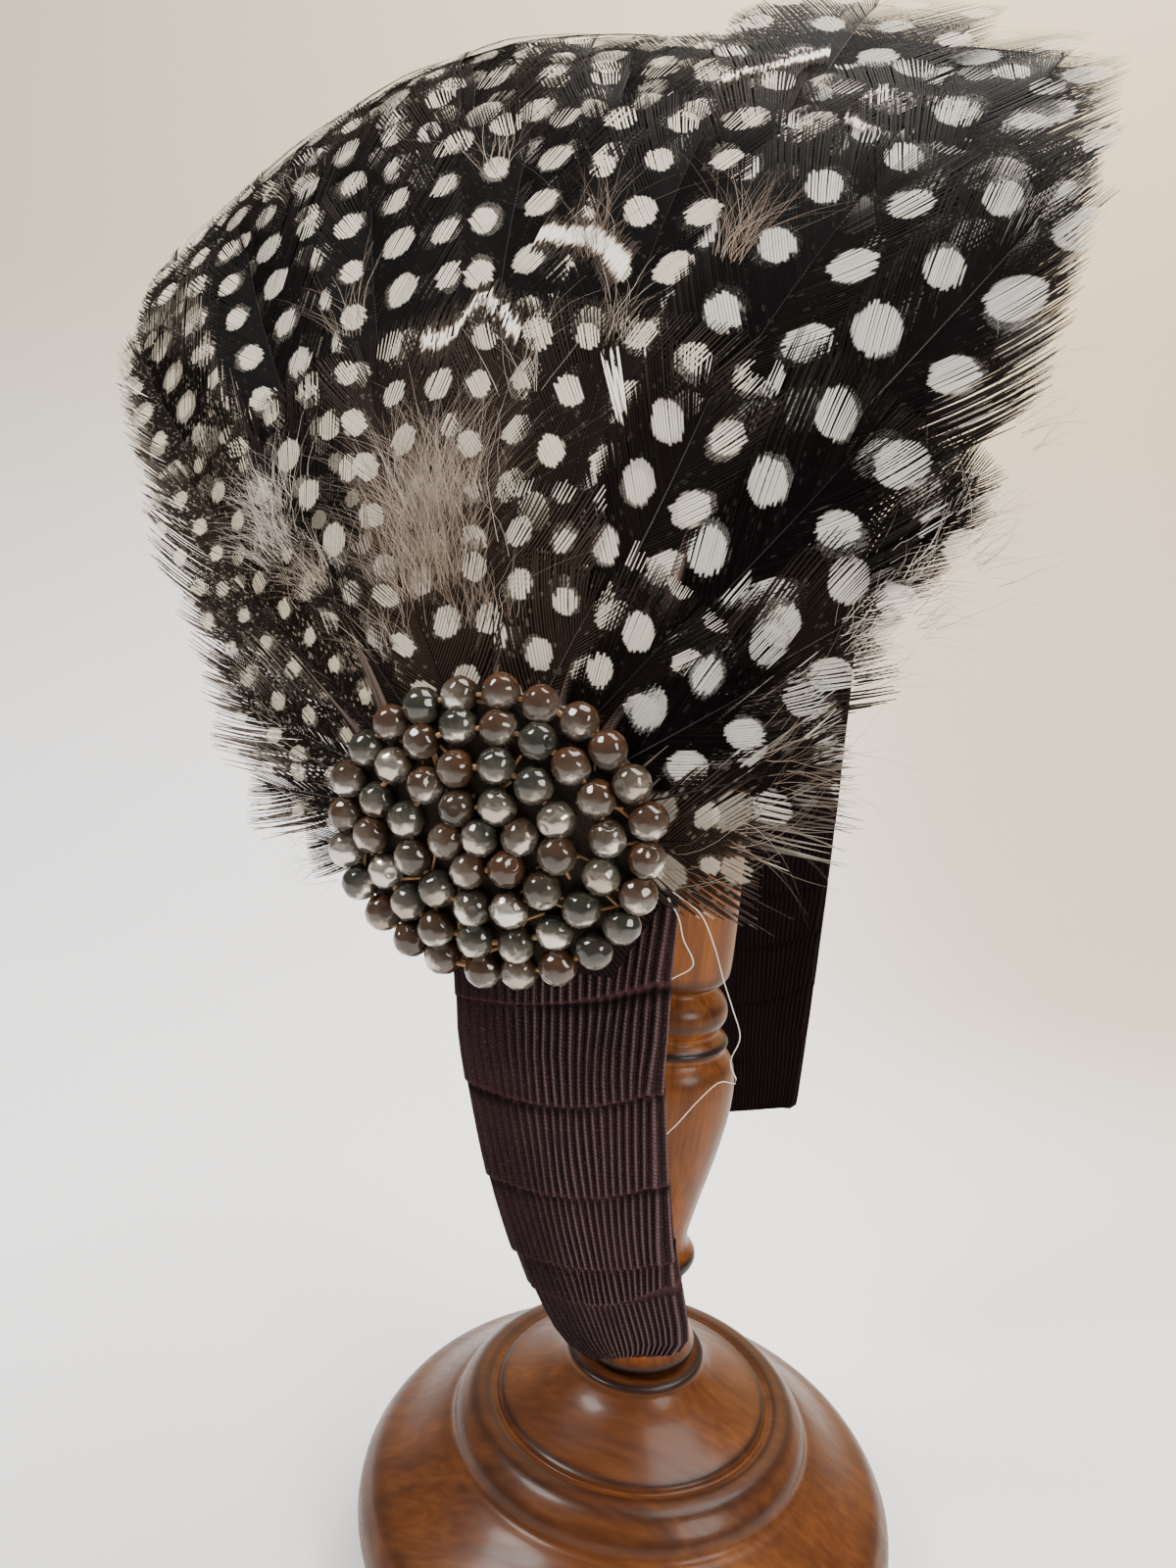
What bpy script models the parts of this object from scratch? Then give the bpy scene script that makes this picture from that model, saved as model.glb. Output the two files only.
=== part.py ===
"""A guinea fowl feather headband on its turned wooden stand.

The frame: +Z is up, the origin is the middle of the stand's underside, and +Y runs from ear to ear, from the
beaded side of the headband to the plain one. Run it with blender --background --python part.py.
"""

import math

import bmesh
import bpy
import numpy as np
from mathutils import Matrix

MM = 0.001
GAP = 0.35                    # left between neighbouring pieces, in mm like every size below

# The dome that the feathers lie on. Its near pole, at -Y, is the middle of the bead cluster.
DOME_CENTRE = np.array([-4.5, 3.8, 135.0])
DOME_AXES = np.array([112.0, 69.0, 94.0])

# How far the feather tips reach over the dome: (bearing round the bead cluster, angle from it), in degrees.
# Bearing 0 is straight up over the crown, and positive bearings lie towards +X.
TIP_REACH = (
    (-114, 15), (-90, 15), (-78, 17), (-66, 20.5), (-60, 24), (-54, 28), (-50, 36), (-46, 48), (-42, 64),
    (-36, 86), (-30, 102), (-24, 112), (-12, 124), (0, 128), (12, 121), (24, 79), (30, 60), (36, 48), (42, 40),
    (48, 31.5), (54, 24.5), (60, 21.5), (66, 20), (78, 18), (90, 16), (114, 15),
)
WIDEST_BEARING = 112
FLARE = 0.0065                # the +X edge of the crown turns up: mm per square mm beyond FLARE_START
FLARE_START = 18.0
FLARE_HEIGHTS = (165, 200)    # heights between which the flare comes in

# Feathers
FEATHER_THICKNESS = 0.7
FEATHER_LENGTH = 35.0         # degrees over the dome, about 45 mm
FEATHER_WIDTH = 24.0
ROW_PITCH = 13.0              # degrees from one row of quills to the next
FIRST_ROW = 5.0
ROWS = 8
FEATHER_RISE = 0.088          # mm that a feather climbs per degree, to clear the quills of the next row
SHORTEST_FEATHER = 10.0
SIDE_GAP = 0.3                # from a feather's edge to halfway between it and the next feather
TIP_CURVE = 5.0               # degrees that the corners of a tip stay behind its middle
LENGTH_STEPS = 4
WIDTH_STEPS = 4

# Stiffened cloth shell under the feathers: half widths in mm at angles up the arch from the middle of the beads
SHELL_THICKNESS = 1.2
SHELL_WIDTHS = ((-8, 10), (0, 17), (25, 24), (60, 27), (95, 24), (112, 17))
SHELL_MIDDLE = -1.0           # x of the shell's middle line
SHELL_STEPS = (14, 6)

# Headband: outer face of the band as (y, z), from the near tip over the crown to the far tip
BAND_PATH = (
    (-55.0, 74.5), (-61.0, 98), (-62, 118), (-61.3, 136), (-58.2, 160), (-50.2, 184), (-37.0, 204.6),
    (-17.4, 219.4), (4, 224.9), (24, 220.6), (42.6, 205), (55.6, 179), (62, 150), (62.6, 118), (58.8, 88),
    (49.5, 58),
)
BAND_EDGES = ((0, 19.5), (0.05, 16.6), (0.1, 14.4), (0.2, 13.8), (0.5, 17), (1, 17))    # x of its +X edge
BAND_WIDTHS = (
    (0, 16.5), (0.035, 19.5), (0.1, 22.8), (0.15, 25), (0.25, 26.5), (0.5, 30), (0.8, 26), (0.9, 22),
    (0.965, 19), (1, 16.5),
)
BAND_STEPS = 400              # points along the smooth path
CORE_THICKNESS = 1.6
BAND_CHAMFER = 0.4
BAND_SECTIONS = 14
RIBBON_THICKNESS = 0.6
RIBBON_LAP = 0.55             # how much a turn of ribbon stands over the one below at its edge
RIBBON_SLANT = 0.2            # rise of a ribbon's turn per mm across the leg, towards +X
LEG_CHAMFER = 0.7
LEG_TIP = ((0, -2.0), (0.9, -0.7), (2.2, 0))    # rounding of a leg's tip: mm along it, mm that it is wider
SEAM_DEPTH = 0.12             # half the height over which the step at a seam is made
NEAR_SEAMS = (82.5, 87.2, 96.2, 106.5, 117.5)
FAR_SEAMS = (68.0, 78.5, 89.5, 100.0, 110.5, 121.0, 131.5)
NEAR_RIBBON_TOP = 129.5
FAR_RIBBON_TOP = 141.0

# Bead cluster: rings of beads, each as how many beads it has, half its width and half its height
BEAD_DIAMETER = 3.5
BEAD_RINGS = ((24, 15.5, 13.1), (18, 11.7, 10.1), (12, 7.6, 6.7), (6, 3.8, 3.3), (1, 0, 0))
BEADS_CENTRE = (-3.0, 135.7)
BEAD_SHIFT = 0.4              # how far each ring is turned, in beads, against the one outside it
PAD_HALF_SIZE = (16.2, 13.8)
PAD_SIDES = 20
PAD_UNDERSIDE = 1.95          # over the dome, clear of the quills under it
PAD_TOPS = ((0, 4.3), (0.45, 4.15), (0.75, 3.4), (1.07, 2.55))    # height of the pad from its middle to its rim
BEAD_SEAT = 1.3               # from the pad's top to the middle of a bead

# Stand: (radius, height) down the outside of each turned piece
FOOT_PROFILE = (
    (0, 36), (11.4, 36), (11.2, 34.6), (13.5, 32.2), (19.5, 29.0), (22.2, 28.0), (22.6, 27.0), (24.0, 27.6),
    (26.6, 27.2), (29.0, 24.6), (29.6, 22.2), (31.6, 21.2), (37.6, 16.6), (42.0, 14.6), (44.2, 11.4),
    (44.7, 8.0), (43.6, 3.0), (41.6, 0), (0, 0),
)
POST_PROFILE = (
    (0, 140), (9.8, 140), (9.8, 102.5), (8.6, 100.6), (7.0, 99.8), (9.4, 97.4), (9.8, 95.0), (8.2, 92.4),
    (10.4, 91.0), (9.6, 89.6), (11.3, 87.4), (11.9, 84.0), (11.5, 78.5), (10.1, 71.5), (8.2, 64.0), (6.4, 56.0),
    (8.8, 53.4), (6.6, 50.2), (6.8, 46.0), (8.0, 41.5), (10.4, 36.4), (0, 36.4),
)
CAP_PROFILE = (
    (0, 222.0), (6, 220.8), (12, 217.8), (18, 213.0), (21.5, 209.6), (21.0, 204.6), (17.5, 201.2),
    (10.5, 199.0), (7.4, 191.0), (8.2, 180.0), (10.8, 165.0), (10.8, 154.0), (7.4, 146.6), (9.6, 143.4),
    (9.0, 140.4), (0, 140.4),
)
TURNED_SIDES = 18

COLOURS = {
    "walnut": (0.26, 0.105, 0.035, 1),
    "grosgrain": (0.035, 0.012, 0.014, 1),
    "lining": (0.03, 0.018, 0.016, 1),
    "bead": (0.32, 0.28, 0.25, 1),
    "feather": (0.03, 0.024, 0.022, 1),
}


def clear_scene():
    for item in list(bpy.data.objects):
        bpy.data.objects.remove(item)


def make_collection(name):
    made = bpy.data.collections.new(name)
    bpy.context.scene.collection.children.link(made)
    return made


def make_material(name, roughness, metallic=0.0):
    material = bpy.data.materials.new(name)
    material.use_nodes = True
    shader = material.node_tree.nodes["Principled BSDF"]
    shader.inputs["Base Color"].default_value = COLOURS[name]
    shader.inputs["Roughness"].default_value = roughness
    shader.inputs["Metallic"].default_value = metallic
    return material


def table(rows, at):
    """The value at a place in a table of (place, value) rows."""
    places, values = zip(*rows)
    return float(np.interp(at, places, values))


def dome_point(angle, bearing, height=0.0):
    """A point over the dome: angle from the bead cluster and bearing round it, in degrees, height in mm."""
    a, b = math.radians(angle), math.radians(bearing)
    unit = np.array([math.sin(a) * math.sin(b), -math.cos(a), math.sin(a) * math.cos(b)])
    normal = unit / DOME_AXES
    point = DOME_CENTRE + DOME_AXES * unit + normal / np.linalg.norm(normal) * height
    low, high = FLARE_HEIGHTS
    share = min(1.0, max(0.0, (point[2] - low) / (high - low)))
    point[2] += FLARE * max(0.0, point[0] - FLARE_START) ** 2 * share
    return point


def add_mesh(name, points, faces, material, collection):
    """An object of triangles, so that no face is bent."""
    mesh = bpy.data.meshes.new(name)
    mesh.from_pydata([tuple(float(c) * MM for c in p) for p in points], [], faces)
    shape = bmesh.new()
    shape.from_mesh(mesh)
    bmesh.ops.triangulate(shape, faces=shape.faces[:])
    shape.to_mesh(mesh)
    shape.free()
    mesh.materials.append(material)
    made = bpy.data.objects.new(name, mesh)
    collection.objects.link(made)
    return made


def skin_grids(top, bottom):
    """Points and faces of the closed slab between two grids of points of the same size."""
    rows, columns = len(top), len(top[0])
    points = [p for line in top for p in line] + [p for line in bottom for p in line]
    below = rows * columns

    def at(i, j, side=0):
        return side + i * columns + j

    faces = []
    for i in range(rows - 1):
        for j in range(columns - 1):
            quad = (at(i, j), at(i, j + 1), at(i + 1, j + 1), at(i + 1, j))
            faces.append(quad)
            faces.append(tuple(below + v for v in reversed(quad)))
    rim = [(0, j) for j in range(columns)] + [(i, columns - 1) for i in range(1, rows)]
    rim += [(rows - 1, j) for j in range(columns - 2, -1, -1)] + [(i, 0) for i in range(rows - 2, 0, -1)]
    for (i, j), (k, m) in zip(rim, rim[1:] + rim[:1]):
        faces.append((at(k, m), at(i, j), at(i, j, below), at(k, m, below)))
    return points, faces


def turned(name, profile, material, collection):
    """A turned piece: its profile runs down the outside, from the axis to the axis."""
    outline = bpy.data.meshes.new(name)
    edges = [(i, i + 1) for i in range(len(profile) - 1)]
    outline.from_pydata([(radius * MM, 0, height * MM) for radius, height in profile], edges, [])
    outline.materials.append(material)
    made = bpy.data.objects.new(name, outline)
    collection.objects.link(made)
    screw = made.modifiers.new("turn", "SCREW")
    screw.axis = "Z"
    screw.steps = TURNED_SIDES
    screw.render_steps = TURNED_SIDES
    screw.use_merge_vertices = True
    screw.merge_threshold = 0.00001
    return made


def smooth_path(points, count):
    """Points at even distances along a smooth curve through the given points."""
    ends = [2 * np.array(points[0]) - points[1], *map(np.array, points), 2 * np.array(points[-1]) - points[-2]]
    dense = []
    for a, b, c, d in zip(ends, ends[1:], ends[2:], ends[3:]):
        for t in np.linspace(0, 1, 12, endpoint=False):
            dense.append(0.5 * (2 * b + (c - a) * t + (2 * a - 5 * b + 4 * c - d) * t ** 2
                                + (3 * b - a - 3 * c + d) * t ** 3))
    dense = np.array(dense + [ends[-2]])
    lengths = np.concatenate([[0], np.cumsum(np.linalg.norm(np.diff(dense, axis=0), axis=1))])
    places = np.linspace(0, lengths[-1], count)
    return np.stack([np.interp(places, lengths, dense[:, i]) for i in range(dense.shape[1])], axis=1)


BAND_POINTS = smooth_path(BAND_PATH, BAND_STEPS)
BAND_HEIGHTS = BAND_POINTS[:, 1]
BAND_SHARES = np.linspace(0, 1, BAND_STEPS)
BAND_LENGTH = float(np.linalg.norm(np.diff(BAND_POINTS, axis=0), axis=1).sum())
CROWN = int(np.argmax(BAND_HEIGHTS))


def band_share(height, far):
    """How far along the band, from 0 at its near tip to 1 at its far tip, it reaches a height."""
    if far:
        return float(np.interp(height, BAND_HEIGHTS[:CROWN:-1], BAND_SHARES[:CROWN:-1]))
    return float(np.interp(height, BAND_HEIGHTS[:CROWN], BAND_SHARES[:CROWN]))


def band_place(share):
    """The band's outer face at a share of its length and the direction out of it, both as (y, z)."""
    here = np.array([np.interp(share, BAND_SHARES, BAND_POINTS[:, i]) for i in (0, 1)])
    i = int(np.clip(round(share * (BAND_STEPS - 1)), 1, BAND_STEPS - 2))
    along = BAND_POINTS[i + 1] - BAND_POINTS[i - 1]
    along /= np.linalg.norm(along)
    beyond = (share - min(1.0, max(0.0, share))) * BAND_LENGTH
    return here + along * beyond, np.array([-along[1], along[0]])


def band_section(share, thickness, raised=0.0, chamfer=0.5, widen=0.0, slant=0.0):
    """Eight corners across the band: a chamfered strip whose outer face lies on the band's path.

    Its right end is shifted along the band by slant for each mm to its middle, and its left end the other way.
    """
    edge = table(BAND_EDGES, share)
    width = table(BAND_WIDTHS, share)
    right = edge + widen
    left = edge - width - widen
    outline = ((right - chamfer, raised), (left + chamfer, raised), (left, raised - chamfer),
               (left, chamfer - thickness), (left + chamfer, -thickness), (right - chamfer, -thickness),
               (right, chamfer - thickness), (right, raised - chamfer))
    corners = []
    for x, out in outline:
        place, outward = band_place(share + slant * (x - edge + width / 2) / BAND_LENGTH)
        corners.append(np.array([x, *(place + outward * out)]))
    return corners


def loft(name, sections, material, collection):
    """A solid through closed sections with the same number of corners."""
    corners = len(sections[0])
    points = [p for section in sections for p in section]
    faces = [tuple(range(corners)), tuple(range(len(points) - 1, len(points) - 1 - corners, -1))]
    for i in range(len(sections) - 1):
        for j in range(corners):
            k = (j + 1) % corners
            a, b = i * corners, (i + 1) * corners
            faces.append((a + j, b + j, b + k, a + k))
    return add_mesh(name, points, faces, material, collection)


def wrapped_leg(name, far, top, seams, material, collection):
    """A leg of the headband, wound in ribbon: each turn stands over the one nearer to the tip."""
    side, tip = (-1, 1.0) if far else (1, 0.0)
    thick = CORE_THICKNESS + RIBBON_THICKNESS
    slant = side * RIBBON_SLANT
    sections = []
    for along, widen in LEG_TIP:
        sections.append(band_section(tip + side * along / BAND_LENGTH, thick, 0.0, LEG_CHAMFER, widen, slant))
    edges = [*seams, top]
    for seam, following in zip(edges, edges[1:]):
        for height, lap in ((seam - SEAM_DEPTH, 0.0), (seam + SEAM_DEPTH, RIBBON_LAP)):
            sections.append(band_section(band_share(height, far), thick, lap, LEG_CHAMFER, lap / 2, slant))
        middle = band_share((seam + following) / 2, far)
        sections.append(band_section(middle, thick, RIBBON_LAP / 2, LEG_CHAMFER, RIBBON_LAP / 4, slant))
    sections.append(band_section(band_share(top, far), thick, 0.0, LEG_CHAMFER, 0.0, slant))
    return loft(name, sections[::side], material, collection)


def band(material, collection):
    """The bare arch between the two wrapped legs, cut at their slant where it meets them."""
    start = band_share(NEAR_RIBBON_TOP + GAP, False)
    end = band_share(FAR_RIBBON_TOP + GAP, True)
    sections = []
    for share in np.linspace(start, end, BAND_SECTIONS):
        slant = RIBBON_SLANT * (1 - 2 * (share - start) / (end - start))
        sections.append(band_section(share, CORE_THICKNESS, 0.0, BAND_CHAMFER, 0.0, slant))
    return loft("band", sections, material, collection)


def shell_point(angle, x, height):
    """A point over the dome by angle up the arch and distance to the side."""
    side = (x - DOME_CENTRE[0]) / DOME_AXES[0]
    ring = math.sqrt(1 - side ** 2)
    a = math.radians(angle)
    unit = np.array([side, -math.cos(a) * ring, math.sin(a) * ring])
    normal = unit / DOME_AXES
    return DOME_CENTRE + DOME_AXES * unit + normal / np.linalg.norm(normal) * height


def shell(material, collection):
    """The stiffened cloth that the quills are glued to."""
    long_steps, side_steps = SHELL_STEPS
    top, bottom = [], []
    for i in range(long_steps + 1):
        angle = SHELL_WIDTHS[0][0] + (SHELL_WIDTHS[-1][0] - SHELL_WIDTHS[0][0]) * i / long_steps
        half = table(SHELL_WIDTHS, angle)
        xs = [SHELL_MIDDLE + half * (j / side_steps * 2 - 1) for j in range(side_steps + 1)]
        top.append([shell_point(angle, x, 0.0) for x in xs])
        bottom.append([shell_point(angle, x, -SHELL_THICKNESS) for x in xs])
    points, faces = skin_grids(top, bottom)
    return add_mesh("cap_shell", points, faces, material, collection)


def pad_top(x, z):
    """Height of the bead pad over the dome."""
    out = math.hypot((x - BEADS_CENTRE[0]) / PAD_HALF_SIZE[0], (z - BEADS_CENTRE[1]) / PAD_HALF_SIZE[1])
    return table(PAD_TOPS, out)


def cluster_point(x, z, height):
    """A point over the dome by its x and z."""
    side = (x - DOME_CENTRE[0]) / DOME_AXES[0]
    rise = (z - DOME_CENTRE[2]) / DOME_AXES[2]
    unit = np.array([side, -math.sqrt(1 - side ** 2 - rise ** 2), rise])
    normal = unit / DOME_AXES
    return DOME_CENTRE + DOME_AXES * unit + normal / np.linalg.norm(normal) * height


def ellipse(count, half_width, half_height, shift=0.0):
    """Places (x, z) round the middle of the beads, evenly turned."""
    turns = [math.tau * (i + shift) / count for i in range(count)]
    return [(BEADS_CENTRE[0] + half_width * math.cos(turn), BEADS_CENTRE[1] + half_height * math.sin(turn))
            for turn in turns]


def bead_cluster(material, collection):
    """Rings of beads, each bead sunk a little into the pad that it is sewn to."""
    top, bottom = [], []
    for out, _ in PAD_TOPS[1:]:
        ring = ellipse(PAD_SIDES, PAD_HALF_SIZE[0] * out, PAD_HALF_SIZE[1] * out)
        top.append([cluster_point(x, z, pad_top(x, z)) for x, z in ring])
        bottom.append([cluster_point(x, z, PAD_UNDERSIDE) for x, z in ring])
    pad = loft("bead_cluster", [*bottom, *top[::-1]], material, collection)
    balls = bmesh.new()
    for i, (count, half_width, half_height) in enumerate(BEAD_RINGS):
        for x, z in ellipse(count, half_width, half_height, BEAD_SHIFT * i):
            ball = bmesh.ops.create_uvsphere(balls, u_segments=6, v_segments=3, radius=BEAD_DIAMETER / 2 * MM)
            middle = cluster_point(x, z, pad_top(x, z) + BEAD_SEAT) * MM
            bmesh.ops.rotate(balls, verts=ball["verts"], matrix=Matrix.Rotation(math.pi / 2, 3, "X"))
            bmesh.ops.translate(balls, verts=ball["verts"], vec=middle)
    mesh = bpy.data.meshes.new("beads")
    balls.to_mesh(mesh)
    balls.free()
    beads = bpy.data.objects.new("beads", mesh)
    collection.objects.link(beads)
    beads.hide_render = True
    beads.display_type = "WIRE"
    union = pad.modifiers.new("beads", "BOOLEAN")
    union.operation = "UNION"
    union.solver = "EXACT"
    union.object = beads
    return pad


def feather_outline(share):
    """Half the width of a feather along its length, as a share of its full half-width."""
    blade = math.sin(math.pi * min(1.0, 0.04 + 0.96 * share) ** 0.62) ** 0.75
    return max(0.1, blade, 0.42 * share)


def feather(name, row, bearing, half_bearing, length, material, collection):
    """One feather along a bearing, its quill towards the beads and its tip raised over the next row."""
    root = FIRST_ROW + row * ROW_PITCH
    top, bottom = [], []
    for i in range(LENGTH_STEPS + 1):
        share = i / LENGTH_STEPS
        angle = root + length * share
        across = DOME_AXES[0] * math.sin(math.radians(angle))
        half = math.degrees(FEATHER_WIDTH / 2 * feather_outline(share) / across)
        half = min(half, half_bearing - math.degrees(SIDE_GAP / across))
        over, under = [], []
        for j in range(WIDTH_STEPS + 1):
            aside = j / WIDTH_STEPS * 2 - 1
            here = angle - aside ** 2 * TIP_CURVE * share ** 3
            height = GAP + FEATHER_RISE * (here - root)
            over.append(dome_point(here, bearing + half * aside, height + FEATHER_THICKNESS))
            under.append(dome_point(here, bearing + half * aside, height))
        top.append(over)
        bottom.append(under)
    points, faces = skin_grids(top, bottom)
    return add_mesh(name, points, faces, material, collection)


def feathers(material, collection):
    """Rows of feathers that fan out from the bead cluster, every other row shifted by half a feather."""
    made = 0
    for row in range(ROWS):
        root = FIRST_ROW + row * ROW_PITCH
        widest = root + 0.6 * FEATHER_LENGTH
        across = DOME_AXES[0] * math.sin(math.radians(widest))
        spacing = math.degrees((FEATHER_WIDTH + 0.8) / across)
        shift = 0.5 * (row % 2)
        each_side = int(WIDEST_BEARING / spacing) + 1
        for k in range(-each_side, each_side + 1):
            bearing = (k + shift) * spacing
            length = min(FEATHER_LENGTH, table(TIP_REACH, bearing) - root)
            if abs(bearing) > WIDEST_BEARING or length < SHORTEST_FEATHER:
                continue
            made += 1
            feather(f"feather_{made:02d}", row, bearing, spacing / 2, length, material, collection)


def build():
    clear_scene()
    parts = make_collection("guinea_fowl_feather_headband")
    wood = make_material("walnut", 0.35)
    ribbon = make_material("grosgrain", 0.8)
    cloth = make_material("lining", 0.9)
    glass = make_material("bead", 0.15, 0.5)
    plume = make_material("feather", 0.55)
    turned("stand_foot", FOOT_PROFILE, wood, parts)
    turned("stand_post", POST_PROFILE, wood, parts)
    turned("stand_cap", CAP_PROFILE, wood, parts)
    wrapped_leg("leg_near", False, NEAR_RIBBON_TOP, NEAR_SEAMS, ribbon, parts)
    wrapped_leg("leg_far", True, FAR_RIBBON_TOP, FAR_SEAMS, ribbon, parts)
    band(cloth, parts)
    shell(cloth, parts)
    bead_cluster(glass, parts)
    feathers(plume, parts)


build()
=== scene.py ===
"""The looks of the guinea fowl feather headband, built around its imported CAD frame."""

import math

import bmesh
import bpy
import numpy as np
from mathutils import Matrix, Vector
from mathutils.bvhtree import BVHTree


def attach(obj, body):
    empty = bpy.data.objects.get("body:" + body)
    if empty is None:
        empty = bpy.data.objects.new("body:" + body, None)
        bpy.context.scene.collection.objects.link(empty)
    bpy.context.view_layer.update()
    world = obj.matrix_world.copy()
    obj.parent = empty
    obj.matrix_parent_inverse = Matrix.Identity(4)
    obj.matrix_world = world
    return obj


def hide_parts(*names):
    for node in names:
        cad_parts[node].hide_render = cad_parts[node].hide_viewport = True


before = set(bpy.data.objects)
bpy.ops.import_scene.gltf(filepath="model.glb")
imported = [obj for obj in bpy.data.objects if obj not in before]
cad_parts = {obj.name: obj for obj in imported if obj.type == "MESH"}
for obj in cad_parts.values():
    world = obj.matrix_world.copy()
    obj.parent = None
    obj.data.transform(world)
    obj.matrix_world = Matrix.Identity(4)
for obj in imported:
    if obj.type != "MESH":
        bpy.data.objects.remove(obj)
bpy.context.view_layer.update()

MM = 0.001
SEED = 7

# The dome under the feathers, as in the CAD. Its pole, at -Y, is the middle of the bead cluster.
# A place on it is an angle from the pole and a bearing, 0 over the crown and more towards +X, in degrees.
DOME_CENTRE = np.array([-4.5, 3.8, 135.0])
DOME_AXES = np.array([112.0, 69.0, 94.0])
FLARE = 0.0065                # how far the crown's +X edge is turned up, in mm for each mm squared
FLARE_START = 18.0
FLARE_HEIGHTS = (165, 200)
GAP = 0.35
SKY = 20.0                    # mm over the dome, above every feather

# How far the fan reaches, as bearing and angle
TIP_REACH = (
    (-114, 15), (-90, 15), (-78, 17), (-66, 20.5), (-60, 24), (-54, 28), (-50, 36), (-46, 48), (-42, 64),
    (-36, 86), (-30, 102), (-24, 112), (-12, 124), (0, 128), (12, 121), (24, 79), (30, 60), (36, 48),
    (42, 40), (48, 31.5), (54, 24.5), (60, 21.5), (66, 20), (78, 18), (90, 16), (114, 15),
)
FRINGE = (                    # bearing, degrees that barbs may reach beyond it
    (-100, 0.0), (-84, 0.5), (-70, 4.0), (-52, 6.5), (-25, 7.0), (0, 5.0), (14, 2.5), (70, 2.5), (82, 1.0),
    (112, 0.0),
)
SOFT_EDGE = ((27, 0), (37, 4.0), (52, 4.0), (60, 1.5), (70, 0))    # bearing, degrees at the edge left to down
SWELL = ((-37, 0), (-28, 1.6), (-20, 2.8), (-12, 2.8), (-6, 1.4), (0, 0))    # bearing, mm that it puffs up
SWELL_ANGLE = 67.0
SWELL_WIDTH = 18.0

# The rows of feathers: lengths along the dome in degrees, width and thickness in mm
FEATHER_LENGTH = 35.0
FEATHER_WIDTH = 24.0
FEATHER_THICKNESS = 0.7
FEATHER_RISE = 0.088          # mm for each degree
SHORTEST_FEATHER = 10.0
WIDEST_BEARING = 112
FIRST_ROW = 5.0
ROW_PITCH = 13.0
ROWS = 8
LAYERS = (2, 2, 2, 1, 1, 1, 1, 1)                      # layers of feathers in each of the CAD's rows
CROWDING = (1.7, 1.6, 1.6, 2.0, 2.0, 2.0, 2.0, 2.0)    # feathers in a layer for each one of the CAD's row
FIRST_ROW_REACH = (16, 23)    # about the longest feathers in the first row's two layers
LOW_REACH = (                 # bearing, longest feathers beside and below the beads
    (-112, 6), (-94, 7), (-82, 11), (-75, 35), (70, 35), (76, 11), (86, 8.5), (96, 4.5), (112, 4),
)
RAISED = {                    # extra feathers whose tips stand up: root, bearing, reach and lift
    3: ((44, 12, 34, 5.0), (46, 17, 32, 2.5)),
    4: ((54, 9.5, 32, 6.5), (60, 15, 30, 4.0)),
    5: ((66, 19, 27, 3.0),),
}
ROLL = 0.016                  # how far a feather is tipped, so that the edge towards the crown lies uppermost
ROLL_BEARING = 9.0            # bearing from which it is tipped in full

# One feather in the flat, in mm
BARB_PITCH = 0.42
BARB_STEPS = 7
BARB_HALF_WIDTH = 0.60        # share of the pitch
CLUMP = (4, 14)               # from 4 to 13 barbs cling together
MIDDLE_TURN = 0.84            # a barb's turn from the shaft halfway along it, as a share of its first
FIRST_BARB = 0.06             # share of the feather's length
BARE_TIP = 0.17               # share of it past the last barb's root
VANE_HALF = 14.0
BARB_OPENING = ((0, 58), (0.3, 47), (0.7, 39), (0.9, 27), (1, 8))    # share of the shaft, degrees from it
BARB_REACH = ((0, 0.45), (0.10, 0.8), (0.3, 1.0), (1, 1.0))    # share of the shaft, of the half width
QUILL_DOWN = 0.12             # share of a feather, from its quill, that is down
SHAFT_END = 0.86              # share of the feather's length
CUP = 0.002                   # mm that a vane sinks aside of its shaft, for each mm squared
LOWEST = 0.15                 # mm over the dome, the least that any barb has
DOT_ROW, DOT_COLUMN, DOT_RADII = 6.0, 5.5, (1.72, 1.36)
FINE_DOT_ROW, FINE_DOT_COLUMN, FINE_DOT_RADII = 5.0, 4.6, (1.08, 0.90)
DOT_LEAN = 38.0               # degrees from the shaft to a dot's long way
ROW_SLOPE = 0.45              # mm that a row of dots falls back for each mm away from the shaft
SPECK_PITCH = 0.36            # length of a speck along the shaft

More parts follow.
